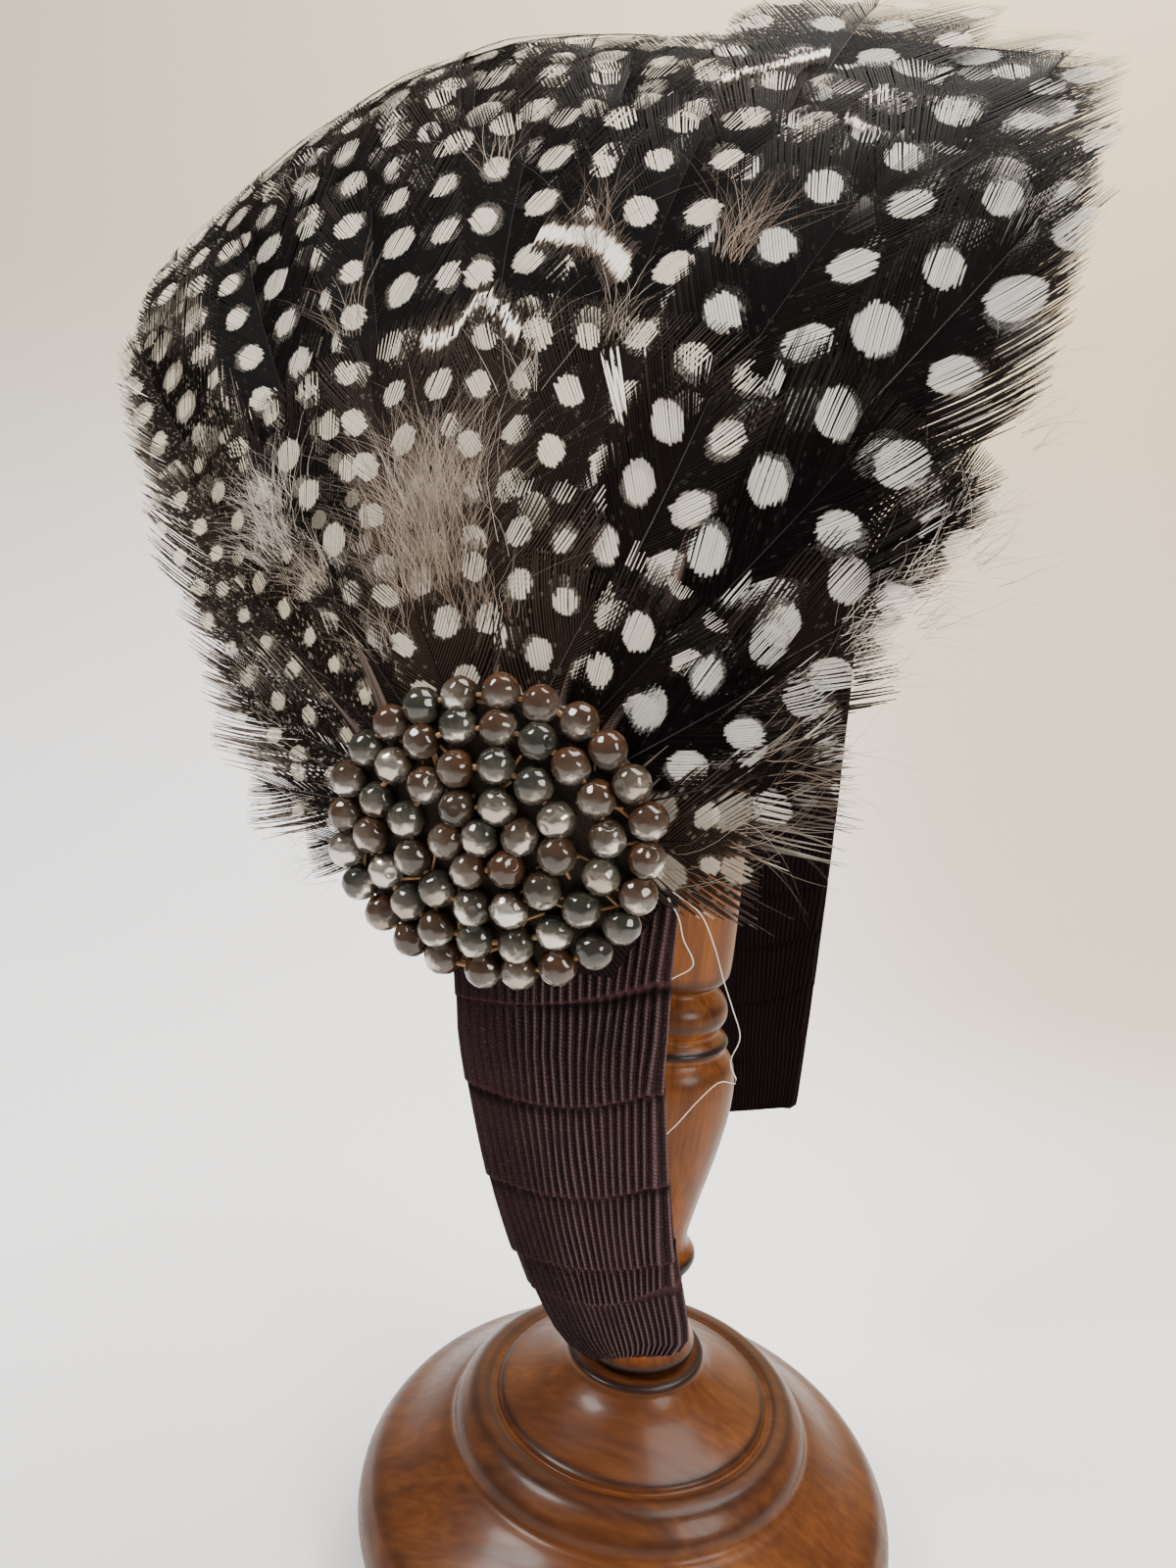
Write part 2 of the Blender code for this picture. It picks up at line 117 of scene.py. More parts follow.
# Down and loose barbs on the fan: angle, bearing, length, width in mm, strands, tone, lift in mm
TUFTS = (
    (14.0, -17.0, 14.0, 9.0, 380, 0.54, 1.4), (18.5, -14.5, 12.0, 8.0, 320, 0.44, 2.2),
    (12.0, -6.0, 8.0, 6.0, 60, 0.60, 1.2), (11.5, -30.0, 8.0, 7.0, 50, 0.50, 1.0),
    (20.5, -41.5, 8.0, 5.0, 110, 0.26, 1.8), (17.0, -38.0, 7.0, 4.0, 80, 0.40, 1.6),
    (23.5, -38.0, 7.0, 5.0, 90, 0.20, 2.0), (36.0, 2.0, 11.0, 2.5, 36, 0.72, 1.8),
    (37.0, 13.5, 10.0, 2.5, 60, 0.62, 2.2), (30.0, 6.0, 9.0, 3.0, 24, 0.45, 1.5),
    (26.0, -2.0, 10.0, 3.0, 20, 0.40, 1.2), (33.0, -22.0, 9.0, 4.0, 26, 0.50, 1.6),
    (44.0, -8.0, 9.0, 4.0, 24, 0.45, 1.6), (50.0, -26.0, 8.0, 4.0, 20, 0.45, 1.4),
    (29.5, 46.5, 7.0, 8.0, 80, 0.20, 0.6), (25.0, 50.0, 7.0, 8.0, 80, 0.28, 0.6),
    (20.5, 54.0, 7.0, 7.0, 70, 0.30, 0.6), (36.0, 40.0, 7.0, 8.0, 60, 0.30, 0.6),
    (14.5, 66.0, 11.0, 5.0, 26, 0.62, 3.0), (12.0, 80.0, 12.0, 4.0, 16, 0.55, 3.5),
    (9.0, 96.0, 13.0, 4.0, 9, 0.50, 3.5),
    (9.5, -104.0, 6.0, 9.0, 30, 0.30, 1.0), (10.0, -92.0, 6.0, 7.0, 22, 0.30, 1.0),
    (12.5, -76.0, 6.0, 6.0, 16, 0.34, 1.0),
)
TUFT_STEPS = 9
LOOSE_SPAN = 30.0             # degrees of the dome over which a loose strand is laid out

# Pale bars on loose barbs: path as (angle, bearing), the barbs' length in mm, pale share, lean in degrees
BARS = (
    (((31.1, -13.7), (31.3, -10.5), (33.6, -7.6), (30.8, -3.4)), 6.0, 0.30, -12),
    (((38.6, -3.2), (38.3, -0.9), (38.0, 1.8), (35.6, 5.2)), 6.0, 0.36, -20),
    (((27.4, 7.8), (28.2, 8.6)), 9.0, 0.85, 32),
    (((55.0, 6.0), (59.2, 8.9), (61.9, 11.3)), 5.0, 0.30, 15),
    (((55.8, 15.5), (57.4, 17.0), (56.2, 19.0), (58.3, 22.0)), 5.0, 0.30, 10),
    (((52.2, 15.4), (51.5, 17.6), (51.9, 20.0)), 5.0, 0.28, 10),
)
BAR_PITCH = 0.27
BAR_STEPS = 15

# Loose threads beside the beads, from the feathers' edge down to the ribbon, in mm
THREADS = (
    ((14.6, -65.2, 132.0), (16.6, -61.5, 129.3), (18.1, -60.5, 126.0), (19.4, -60.5, 122.6),
     (20.6, -60.5, 119.8), (21.6, -60.5, 117.1), (20.9, -60.5, 114.4), (21.7, -60.5, 112.3),
     (20.0, -60.5, 112.0), (18.0, -60.5, 109.5), (16.2, -60.5, 106.7), (15.0, -60.6, 105.0),
     (14.6, -61.0, 103.2)),
    ((14.2, -65.4, 131.4), (14.9, -63.2, 129.0), (15.2, -61.5, 126.4), (16.3, -61.0, 123.8),
     (14.3, -61.2, 122.0)),
)
THREAD_RADIUS = 0.055

# Headband, as in the CAD: outer face of the band as (y, z)
BAND_PATH = (
    (-55.0, 74.5), (-61.0, 98), (-62, 118), (-61.3, 136), (-58.2, 160), (-50.2, 184), (-37.0, 204.6),
    (-17.4, 219.4), (4, 224.9), (24, 220.6), (42.6, 205), (55.6, 179), (62, 150), (62.6, 118), (58.8, 88),
    (49.5, 58),
)
BAND_EDGES = ((0, 19.5), (0.05, 16.6), (0.1, 14.4), (0.2, 13.8), (0.5, 17), (1, 17))    # x of its +X edge
BAND_WIDTHS = (
    (0, 16.5), (0.035, 19.5), (0.1, 22.8), (0.15, 25), (0.25, 26.5), (0.5, 30), (0.8, 26), (0.9, 22),
    (0.965, 19), (1, 16.5),
)
BAND_STEPS = 399
BAND_LENGTH = 360.0
LEG_THICKNESS = 2.2
RIBBON_LAP = 0.75
RIBBON_SLANT = 0.2
NEAR_SEAMS = (82.5, 87.2, 96.2, 106.5, 117.5)
FAR_SEAMS = (68.0, 78.5, 89.5, 100.0, 110.5, 121.0, 131.5)
NEAR_RIBBON_TOP = 129.5
FAR_RIBBON_TOP = 141.0
NEAR_CORNER, FAR_CORNER = 3.4, 1.2    # radii of the legs' rounded tips
LAP_RISE = (                  # share of a turn's height from its lower edge, share of the lap
    (0.0, 0.35), (0.012, 1.0), (0.05, 1.0), (0.25, 0.8), (0.5, 0.5), (0.75, 0.22), (0.86, 0.1), (0.985, 0.0),
)
FACE_RIBS, EDGE_RIBS, RIB_STEPS = 21, 3, 8
RIB_DEPTH = 0.36
FRAYS = 420                   # fibres around each turn's lower edge

# Bead cluster, as in the CAD
BEAD_DIAMETER = 3.88
BEAD_RINGS = ((24, 15.5, 13.1), (18, 11.7, 10.1), (12, 7.6, 6.7), (6, 3.8, 3.3), (1, 0, 0))
BEADS_CENTRE = (-3.0, 135.7)
BEAD_SHIFT = 0.4
BEAD_SEAT = 1.3
PAD_HALF_SIZE = (16.2, 13.8)
PAD_UNDERSIDE = 1.95
PAD_TOPS = ((0, 4.3), (0.45, 4.15), (0.75, 3.4), (1.07, 2.55))
PAD_RINGS = (0.02, 0.25, 0.5, 0.75, 0.9, 0.97)
PAD_SIDES = 48
STITCHES = 46
STITCH_HALF = 2.2
STITCH_RADIUS = 0.16

# Stand, as in the CAD: (radius, height) down the outside of each turned piece, with its soft corners
FOOT_PROFILE = (
    (0, 36), (11.4, 36), (11.2, 34.6), (13.5, 32.2), (19.5, 29.0), (22.2, 28.0), (22.6, 27.0), (24.0, 27.6),
    (26.6, 27.2), (29.0, 24.6), (29.6, 22.2), (31.6, 21.2), (37.6, 16.6), (42.0, 14.6), (44.2, 11.4),
    (44.7, 8.0), (43.6, 3.0), (41.6, 0), (0, 0),
)
POST_PROFILE = (
    (0, 140), (9.8, 140), (9.8, 102.5), (8.6, 100.6), (7.0, 99.8), (9.4, 97.4), (9.8, 95.0), (8.2, 92.4),
    (10.4, 91.0), (9.6, 89.6), (11.3, 87.4), (11.9, 84.0), (11.5, 78.5), (10.1, 71.5), (8.2, 64.0),
    (6.4, 56.0), (8.8, 53.4), (6.6, 50.2), (6.8, 46.0), (8.0, 41.5), (10.4, 36.4), (0, 36.4),
)
CAP_PROFILE = (
    (0, 222.0), (6, 220.8), (12, 217.8), (18, 213.0), (21.5, 209.6), (21.0, 204.6), (17.5, 201.2),
    (10.5, 199.0), (7.4, 191.0), (8.2, 180.0), (10.8, 165.0), (10.8, 154.0), (7.4, 146.6), (9.6, 143.4),
    (9.0, 140.4), (0, 140.4),
)
TURNED_SIDES = 112
CORNER_CUTS = 3
GROOVE_REACH = 1.1            # mm along the profile either side, over which a dip in it is measured
GROOVE_DEPTH = 0.28           # dip that is darkest

# Camera, as the photograph was taken: 170 mm in front of the stand's axis and 160 mm above the table
CAMERA_TURN = 18.0
CAMERA_PITCH = 10.0
CAMERA_ROLL = 4.4
CAMERA_DISTANCE = 170.0
CAMERA_SIDE = 15.1
CAMERA_HEIGHT = 160.0
FOCAL_PIXELS = 1150
IMAGE_LONG_SIDE = 1600

# The sweep and the lights, in metres
SWEEP_FRONT, SWEEP_FLAT, SWEEP_CURVE, SWEEP_TOP, SWEEP_HALF_WIDTH = -1.2, 0.30, 0.35, 1.6, 1.6
SWEEP_DROP = 0.0002           # how far the sweep lies under the stand's underside
LIGHTS = (                    # name, place, aim, size, power and colour
    ("window", (-0.45, -0.35, 0.75), (0, 0, 0.14), 0.35, 11.0, (1.0, 0.98, 0.95)),
    ("fill", (0.60, -0.30, 0.45), (0, 0, 0.12), 0.35, 5.5, (1.0, 0.95, 0.88)),
    ("ceiling", (0.20, 0.25, 1.0), (0.15, 0.25, 0), 0.8, 22.0, (1.0, 0.97, 0.93)),
)


# Small helpers

def table(rows, at):
    """Values at places in a table of (place, value) rows."""
    places, values = zip(*rows)
    return np.interp(at, places, values)


def smooth_path(points, count):
    """Points at even distances along a smooth curve through the given points."""
    points = np.array(points, float)
    ends = [2 * points[0] - points[1], *points, 2 * points[-1] - points[-2]]
    dense = []
    for a, b, c, d in zip(ends, ends[1:], ends[2:], ends[3:]):
        for t in np.linspace(0, 1, 12, endpoint=False):
            dense.append(0.5 * (2 * b + (c - a) * t + (2 * a - 5 * b + 4 * c - d) * t ** 2
                                + (3 * b - a - 3 * c + d) * t ** 3))
    dense = np.array(dense + [ends[-2]])
    lengths = distances(dense)
    return at_rows(dense, lengths, np.linspace(0, lengths[-1], count))


def distances(points):
    """How far along a path each of its points lies."""
    return np.concatenate([[0], np.cumsum(np.linalg.norm(np.diff(points, axis=0), axis=1))])


def at_rows(values, places, at):
    """Rows of values at other places than those that they are known for."""
    return np.stack([np.interp(at, places, column) for column in values.T], axis=-1)


def smoothstep(low, high, x):
    t = np.clip((x - low) / (high - low), 0, 1)
    return t * t * (3 - 2 * t)


def unit(vectors):
    return vectors / np.linalg.norm(vectors, axis=-1, keepdims=True)


def add_object(name, data):
    made = bpy.data.objects.new(name, data)
    bpy.context.scene.collection.objects.link(made)
    return made


class Pile:
    """Points and faces gathered from many small pieces, made into one mesh at the end."""

    MAPS = ("OFBake", "vane", "strip")
    ATTRIBUTES = ("mark", "tint")

    def __init__(self):
        self.points, self.faces, self.count = [], [], 0
        self.carried = {name: [] for name in self.MAPS + self.ATTRIBUTES}

    def add(self, points, faces, **carried):
        """Adds a piece, with what its points carry on each map and attribute, or else zeros."""
        self.points.append(points)
        self.faces.append(faces + self.count)
        self.count += len(points)
        for name, values in self.carried.items():
            width = 2 if name in self.MAPS else 4
            values.append(carried.get(name, np.zeros((len(points), width))))

    def make(self, name, material, smooth=False, mapped=False):
        faces = np.concatenate(self.faces)
        corners = faces.ravel()
        mesh = bpy.data.meshes.new(name)
        mesh.vertices.add(self.count)
        mesh.vertices.foreach_set("co", (np.concatenate(self.points) * MM).astype(np.float32).ravel())
        mesh.loops.add(len(corners))
        mesh.loops.foreach_set("vertex_index", corners.astype(np.int32))
        mesh.polygons.add(len(faces))
        mesh.polygons.foreach_set("loop_start", np.arange(0, faces.size, faces.shape[1], dtype=np.int32))
        mesh.polygons.foreach_set("use_smooth", np.full(len(faces), smooth))
        mesh.update(calc_edges=True)
        for layer in self.MAPS if mapped else ():
            values = np.concatenate(self.carried[layer])[corners]
            mesh.uv_layers.new(name=layer).uv.foreach_set("vector", values.astype(np.float32).ravel())
        for layer in self.ATTRIBUTES:
            values = np.concatenate(self.carried[layer])
            attribute = mesh.attributes.new(layer, "FLOAT_COLOR", "POINT")
            attribute.data.foreach_set("color", values.astype(np.float32).ravel())
        mesh.materials.append(material)
        mesh.validate()
        return add_object(name, mesh)


def grid_quads(rows, columns, wrap=False):
    """Quads between neighbouring points of a grid, wrap joining its last column to its first."""
    i, j = np.meshgrid(np.arange(rows - 1), np.arange(columns if wrap else columns - 1), indexing="ij")
    k = (j + 1) % columns
    low, high = i * columns, (i + 1) * columns
    return np.stack([low + j, low + k, high + k, high + j], -1).reshape(-1, 4)


def tube(path, radius, sides=5):
    """Points and quads of a thin round strand along a path."""
    path = np.asarray(path, float)
    along = unit(np.gradient(path, axis=0))
    side = unit(np.cross(along, (0.31, 0.17, 0.93)))
    over = np.cross(along, side)
    turns = np.linspace(0, math.tau, sides, endpoint=False)
    ring = np.cos(turns)[None, :, None] * side[:, None] + np.sin(turns)[None, :, None] * over[:, None]
    return (path[:, None] + ring * radius).reshape(-1, 3), grid_quads(len(path), sides, wrap=True)


# Material helpers

class Wire:
    """A value inside a material. Arithmetic on it adds math nodes."""

    def __init__(self, nodes, socket):
        self.nodes, self.socket = nodes, socket

    def __add__(self, other):
        return self.nodes.math("ADD", self, other)

    def __sub__(self, other):
        return self.nodes.math("SUBTRACT", self, other)

    def __rsub__(self, other):
        return self.nodes.math("SUBTRACT", other, self)

    def __mul__(self, other):
        return self.nodes.math("MULTIPLY", self, other)

    def __truediv__(self, other):
        return self.nodes.math("DIVIDE", self, other)

    def __pow__(self, other):
        return self.nodes.math("POWER", self, other)

    def __gt__(self, other):
        return self.nodes.math("GREATER_THAN", self, other)


class Nodes:
    """Short ways to wire one material."""

    def __init__(self, name):
        self.material = bpy.data.materials.new(name)
        self.material.use_nodes = True
        self.tree = self.material.node_tree
        self.shader = self.tree.nodes["Principled BSDF"]

    def put(self, kind, inputs, output=0, **settings):
        """A new node, with values or wires on its inputs by number or name, as a wire from one output."""
        node = self.tree.nodes.new(kind)
        for key, value in settings.items():
            setattr(node, key, value)
        for key, value in inputs.items():
            self.link(value, node.inputs[key])
        return Wire(self, node.outputs[output])

    def link(self, value, socket):
        if isinstance(value, Wire):
            self.tree.links.new(value.socket, socket)
        else:
            socket.default_value = value

    def math(self, operation, *values):
        return self.put("ShaderNodeMath", dict(enumerate(values)), operation=operation)

    def mix(self, factor, a, b):
        return self.put("ShaderNodeMix", {0: factor, 6: a, 7: b}, 2, data_type="RGBA")

    def range(self, value, low, high, to_low=0.0, to_high=1.0, smooth=True):
        kind = "SMOOTHSTEP" if smooth else "LINEAR"
        values = dict(enumerate((value, low, high, to_low, to_high)))
        return self.put("ShaderNodeMapRange", values, interpolation_type=kind)

    def noise(self, vector, scale, detail=2.0, roughness=0.5, distortion=0.0):
        values = {"Vector": vector, "Scale": scale, "Detail": detail, "Roughness": roughness}
        return self.put("ShaderNodeTexNoise", {**values, "Distortion": distortion}, "Fac")

    def white(self, *values):
        """A random number for each set of three numbers."""
        vector = self.put("ShaderNodeCombineXYZ", dict(enumerate(values)))
        return self.put("ShaderNodeTexWhiteNoise", {"Vector": vector}, "Value", noise_dimensions="3D")

    def split(self, vector):
        parts = self.put("ShaderNodeSeparateXYZ", {0: vector}).socket.node
        return [Wire(self, output) for output in parts.outputs]

    def marks(self, name="mark"):
        """Four numbers that a mesh carries at each point."""
        colour = self.put("ShaderNodeAttribute", {}, "Color", attribute_name=name)
        parts = self.put("ShaderNodeSeparateColor", {0: colour}).socket.node
        alpha = colour.socket.node.outputs["Alpha"]
        return [Wire(self, output) for output in (*parts.outputs, alpha)]

    def uv(self, name):
        return self.split(self.put("ShaderNodeUVMap", {}, uv_map=name))

    def place(self):
        """The point's place in metres, as a vector."""
        return self.put("ShaderNodeTexCoord", {}, "Object")

    def bump(self, height, strength, distance):
        return self.put("ShaderNodeBump", {"Strength": strength, "Distance": distance, "Height": height})

    def done(self, **values):
        """The material, given its shader inputs by name, with underscores for spaces."""
        for key, value in values.items():
            self.link(value, self.shader.inputs[key.replace("_", " ")])
        return self.material


# The feathers

def vane_material():
    """Barbs in near black, with rows of pale spots that run with the barbs, and down near the quill.

    The vane map holds a place on the feather in mm: up the shaft and aside of it. The marks hold a number for
    the feather, the share of fine spotting, the share of down and a number for the barb. The tints hold how
    brown the ground is, how cool the spots are, how much the barbs fade to beige towards their ends, and how
    far out along its barb the point is. The strip map's place across a barb puts painted shade along its
    edges, between barbs, which also draws dark lines across the spots.
    """
    n = Nodes("guinea_fowl_vane")
    along, out, _ = n.uv("vane")
    _, across, _ = n.uv("strip")
    feather, fine, down, barb = n.marks()
    brown, cool, fade, tip = n.marks("tint")
    far_out = n.math("ABSOLUTE", out)
    key = feather * 91.7 + (out > 0.0) * 0.31
    stagger = (barb - 0.5) * 0.42
    lean_up, lean_out = math.cos(math.radians(DOT_LEAN)), math.sin(math.radians(DOT_LEAN))

    def spots(row, column, long_radius, short_radius):
        """Where the spots of one size fall: 1 inside, 0 outside. Their rows run back along the barbs."""
        columns = (far_out + stagger) / column
        k = n.math("FLOOR", columns)
        rows = (along - far_out * ROW_SLOPE) / row + k * 0.5 + key * 0.37
        m = n.math("FLOOR", rows)
        up = n.math("FRACT", rows) - 0.5 + (n.white(k, m, key) - 0.5) * 0.16
        aside = (n.math("FRACT", columns) - 0.5 + (n.white(m, key, k) - 0.5) * 0.14) * column
        up = up * row + aside * ROW_SLOPE
        # an oval that leans with the barbs, away from the shaft towards the tip
        size = n.range(n.white(key, k, m), 0.0, 1.0, 0.86, 1.12)
        long_way = (up * lean_up + aside * lean_out) / (size * long_radius)
        short_way = (aside * lean_up - up * lean_out) / (size * short_radius)
        return n.range(long_way * long_way + short_way * short_way, 0.84, 1.10, 1.0, 0.0)

    big = spots(DOT_ROW, DOT_COLUMN, *DOT_RADII)
    small = spots(FINE_DOT_ROW, FINE_DOT_COLUMN, *FINE_DOT_RADII)
    spot = n.mix(fine, big, small)
    cell = n.white(n.math("FLOOR", along / SPECK_PITCH), barb * 777.0, key)
    specks = (cell > 0.92) * n.range(fine, 0.3, 1.0, 0.0, 0.26)
    ticks = (cell > 0.97) * n.range(brown, 0.0, 1.0, 0.02, 0.08)
    # 1 in the middle of a barb and 0 at its edges: the edges get painted shade between barbs, which leaves
    # each middle as a lighter line
    ridge = n.math("MAXIMUM", 1.0 - n.math("ABSOLUTE", across - 0.5) * 2.0, 0.0) ** 0.8

    black = n.mix(n.white(key, 3.0, 5.0), (0.0016, 0.0013, 0.0014, 1), (0.0042, 0.0031, 0.0029, 1))
    black = n.mix(brown, black, (0.034, 0.021, 0.0150, 1))
    rusty = n.mix(0.5, black, (0.0160, 0.0120, 0.0110, 1))
    black = n.mix(n.range(barb, 0.3, 1.0, 0.0, 0.5), black, rusty)
    # painted shade between barbs: the barb edges darken almost to black
    black = n.mix(n.range(ridge, 0.35, 0.95), n.mix(0.9, black, (0.0002, 0.0001, 0.0001, 1)), black)
    light = n.mix(cool, (0.74, 0.67, 0.545, 1), (0.535, 0.535, 0.515, 1))
    light = n.mix(fine, light, (0.78, 0.66, 0.48, 1))
    light = n.mix(n.range(n.white(5.0, key, 2.0), 0.5, 1.0, 0.0, 0.6), light, (0.50, 0.47, 0.42, 1))
    light = n.mix(brown * 0.5, light, (0.40, 0.345, 0.275, 1))
    light = n.mix(n.range(barb, 0.2, 1.0, 0.0, 0.22), light, (0.48, 0.42, 0.35, 1))
    downy = n.mix(barb, (0.13, 0.095, 0.080, 1), (0.052, 0.036, 0.030, 1))
    faded = n.mix(barb ** 1.6, (0.10, 0.072, 0.056, 1), (0.52, 0.44, 0.36, 1))

    ground = n.mix(n.math("MAXIMUM", specks, ticks), black, light)
    ground = n.mix(n.range(tip, 0.35, 1.0) * n.range(fade, 0.0, 1.0, 0.03, 0.95), ground, faded)
    ground = n.mix(down, ground, downy)
    keep = spot * n.range(down, 0.3, 1.0, 1.0, 0.4)
    # painted shade: dark lines between barbs across the spots
    groove = (1.0 - ridge) * (keep * 0.75)
    colour = n.mix(groove, n.mix(keep, ground, light), (0.09, 0.075, 0.062, 1))
    return n.done(Base_Color=colour, Roughness=n.range(keep, 0, 1, 0.6, 0.85), Specular_IOR_Level=0.02)


def shaft_material():
    n = Nodes("feather_shaft")
    feather, _, _, along = n.marks()
    tone = n.mix(n.range(feather, 0.75, 0.95), (0.0022, 0.0016, 0.0015, 1), (0.030, 0.028, 0.027, 1))
    colour = n.mix(n.range(along, 0.0, 0.30), (0.02, 0.014, 0.012, 1), tone)
    return n.done(Base_Color=colour, Roughness=0.5, Specular_IOR_Level=0.08)


def down_material():
    """Fluffy barbs. The first mark is their tone, from white through beige to black, the last the strand."""
    n = Nodes("feather_down")
    tone, _, _, strand_mark = n.marks()
    pale = n.mix(n.range(tone, 0.0, 0.5, smooth=False), (0.68, 0.64, 0.58, 1), (0.30, 0.225, 0.170, 1))
    colour = n.mix(n.range(tone, 0.5, 1.0, smooth=False), pale, (0.020, 0.014, 0.011, 1))
    colour = n.mix(n.range(strand_mark, 0.2, 1.0, 0.0, 0.55), colour, (0.075, 0.055, 0.042, 1))
    return n.done(Base_Color=colour, Roughness=0.85, Specular_IOR_Level=0.1)


def flared(p):
    """The points with the +X edge of the crown turned up, as in the CAD."""
    low, high = FLARE_HEIGHTS
    share = np.clip((p[..., 2] - low) / (high - low), 0, 1)
    p = p.copy()
    p[..., 2] += FLARE * np.maximum(0, p[..., 0] - FLARE_START) ** 2 * share
    return p


def dome_frame(angle, bearing):
    """Points on the dome along one bearing, with the directions aside and outward."""
    def at(a):
        a, b = np.radians(a), math.radians(bearing)
        return DOME_CENTRE + DOME_AXES * np.stack(
            [np.sin(a) * math.sin(b), -np.cos(a), np.sin(a) * math.cos(b)], -1)

    here = at(angle)
    along = unit(at(angle + 0.5) - at(angle - 0.5))
    out = unit((here - DOME_CENTRE) / DOME_AXES ** 2)
    return here, np.cross(out, along), out


class Lay:
    """How one feather lies on the dome.

    Root and bearing are its quill's place and reach its length, in degrees. Base is the height of its quill,
    and lift and a quarter of curl are what its tip adds, in mm. Rise is the height gained for each degree,
    roll for each mm aside, and sweep is how far its tip bends aside, as a share of its length.
    """

    def __init__(self, root, bearing, reach, base, rise=FEATHER_RISE,
                 roll=0.0, curl=0.0, sweep=0.0, lift=0.0):
        self.root, self.bearing, self.reach, self.base, self.rise = root, bearing, reach, base, rise
        self.roll, self.curl, self.sweep, self.lift = roll, curl, sweep, lift
        self.length = float(distances(dome_frame(np.linspace(root, root + reach, 24), bearing)[0])[-1])

    def place(self, s, w):
        """Angles and bearings of points s mm up the shaft and w mm aside of it."""
        angle = self.root + self.reach * s / self.length
        return angle, self.bearing - np.degrees(w / (DOME_AXES[0] * np.sin(np.radians(angle))))

    def points(self, s, w, h):
        """Places of points s mm up the shaft, w mm aside of it and h mm above it."""
        share = s / self.length
        angle = self.root + self.reach * share
        here, aside, _ = dome_frame(angle, self.bearing)
        p = here + aside * (w + self.sweep * share ** 2 * self.length)[..., None]
        ball = unit((p - DOME_CENTRE) / DOME_AXES)
        height = self.base + self.rise * self.reach * share + self.roll * w + h - CUP * w ** 2
        height = height + self.curl * np.clip(share - 0.5, 0, 1) ** 2 + self.lift * share ** 2
        if self.rise > 0:
            swell = table(SWELL, self.place(s, w)[1])
            height = height + swell * np.exp(-((angle - SWELL_ANGLE) / SWELL_WIDTH) ** 2)
        out = unit(ball / DOME_AXES)
        return flared(DOME_CENTRE + DOME_AXES * ball + out * np.maximum(height, LOWEST)[..., None])


def barb_lines(lay, rng, look, side, half, t):
    """Where one side's barbs run, at steps along each: mm up the shaft, mm out from it, and turn from it."""
    count, close, loose = len(t), look["close"], look["loose"]
    rho = np.linspace(0, 1, BARB_STEPS + 1)
    first, last = FIRST_BARB * lay.length, lay.length - BARE_TIP * lay.length
    start = first + t * (last - first)
    clumps = rng.integers(*CLUMP, size=count)
    ids = np.searchsorted(np.cumsum(clumps), np.arange(count), side="right")
    middles = np.array([np.mean(np.nonzero(ids == c)[0]) for c in ids])
    lean = (np.arange(count) - middles) * (0.002 + 0.010 * loose)
    opening = table(BARB_OPENING, t) * (1 - 0.38 * close) + rng.normal(0, 0.25 + 1.0 * loose, count)
    opening = np.radians(opening + 1.5 * np.sin(t * 9 + rng.random() * 6))
    turn = opening[:, None] * (1 - (0.3 + 0.25 * close) * rho) - lean[:, None] * rho ** 2
    turn = turn + loose * rng.normal(0.04, 0.20, (count, 1)) * rho ** 2
    middle_turn = opening * MIDDLE_TURN
    reach = table(BARB_REACH, t) * half / np.sin(middle_turn)
    reach = np.minimum(reach, (lay.length - start) / np.cos(middle_turn) * np.interp(t, (0, 1), (0.94, 1.0)))
    reach = reach * rng.uniform(0.97 - 0.14 * loose, 1.02, count)
    for _ in range(6):
        angle, bearing = lay.place(start + reach * np.cos(middle_turn), side * reach * np.sin(middle_turn))
        beyond = angle > tip_limit(bearing) + table(FRINGE, bearing)
        reach = np.where(beyond, reach * rng.uniform(0.82, 0.92, count), reach)
    step = reach[:, None] / BARB_STEPS
    up, out = (np.cumsum(way(turn[:, 1:]) * step, axis=1) for way in (np.cos, np.sin))
    up, out = (np.pad(run, ((0, 0), (1, 0))) for run in (up, out))
    return start[:, None] + up, out, turn


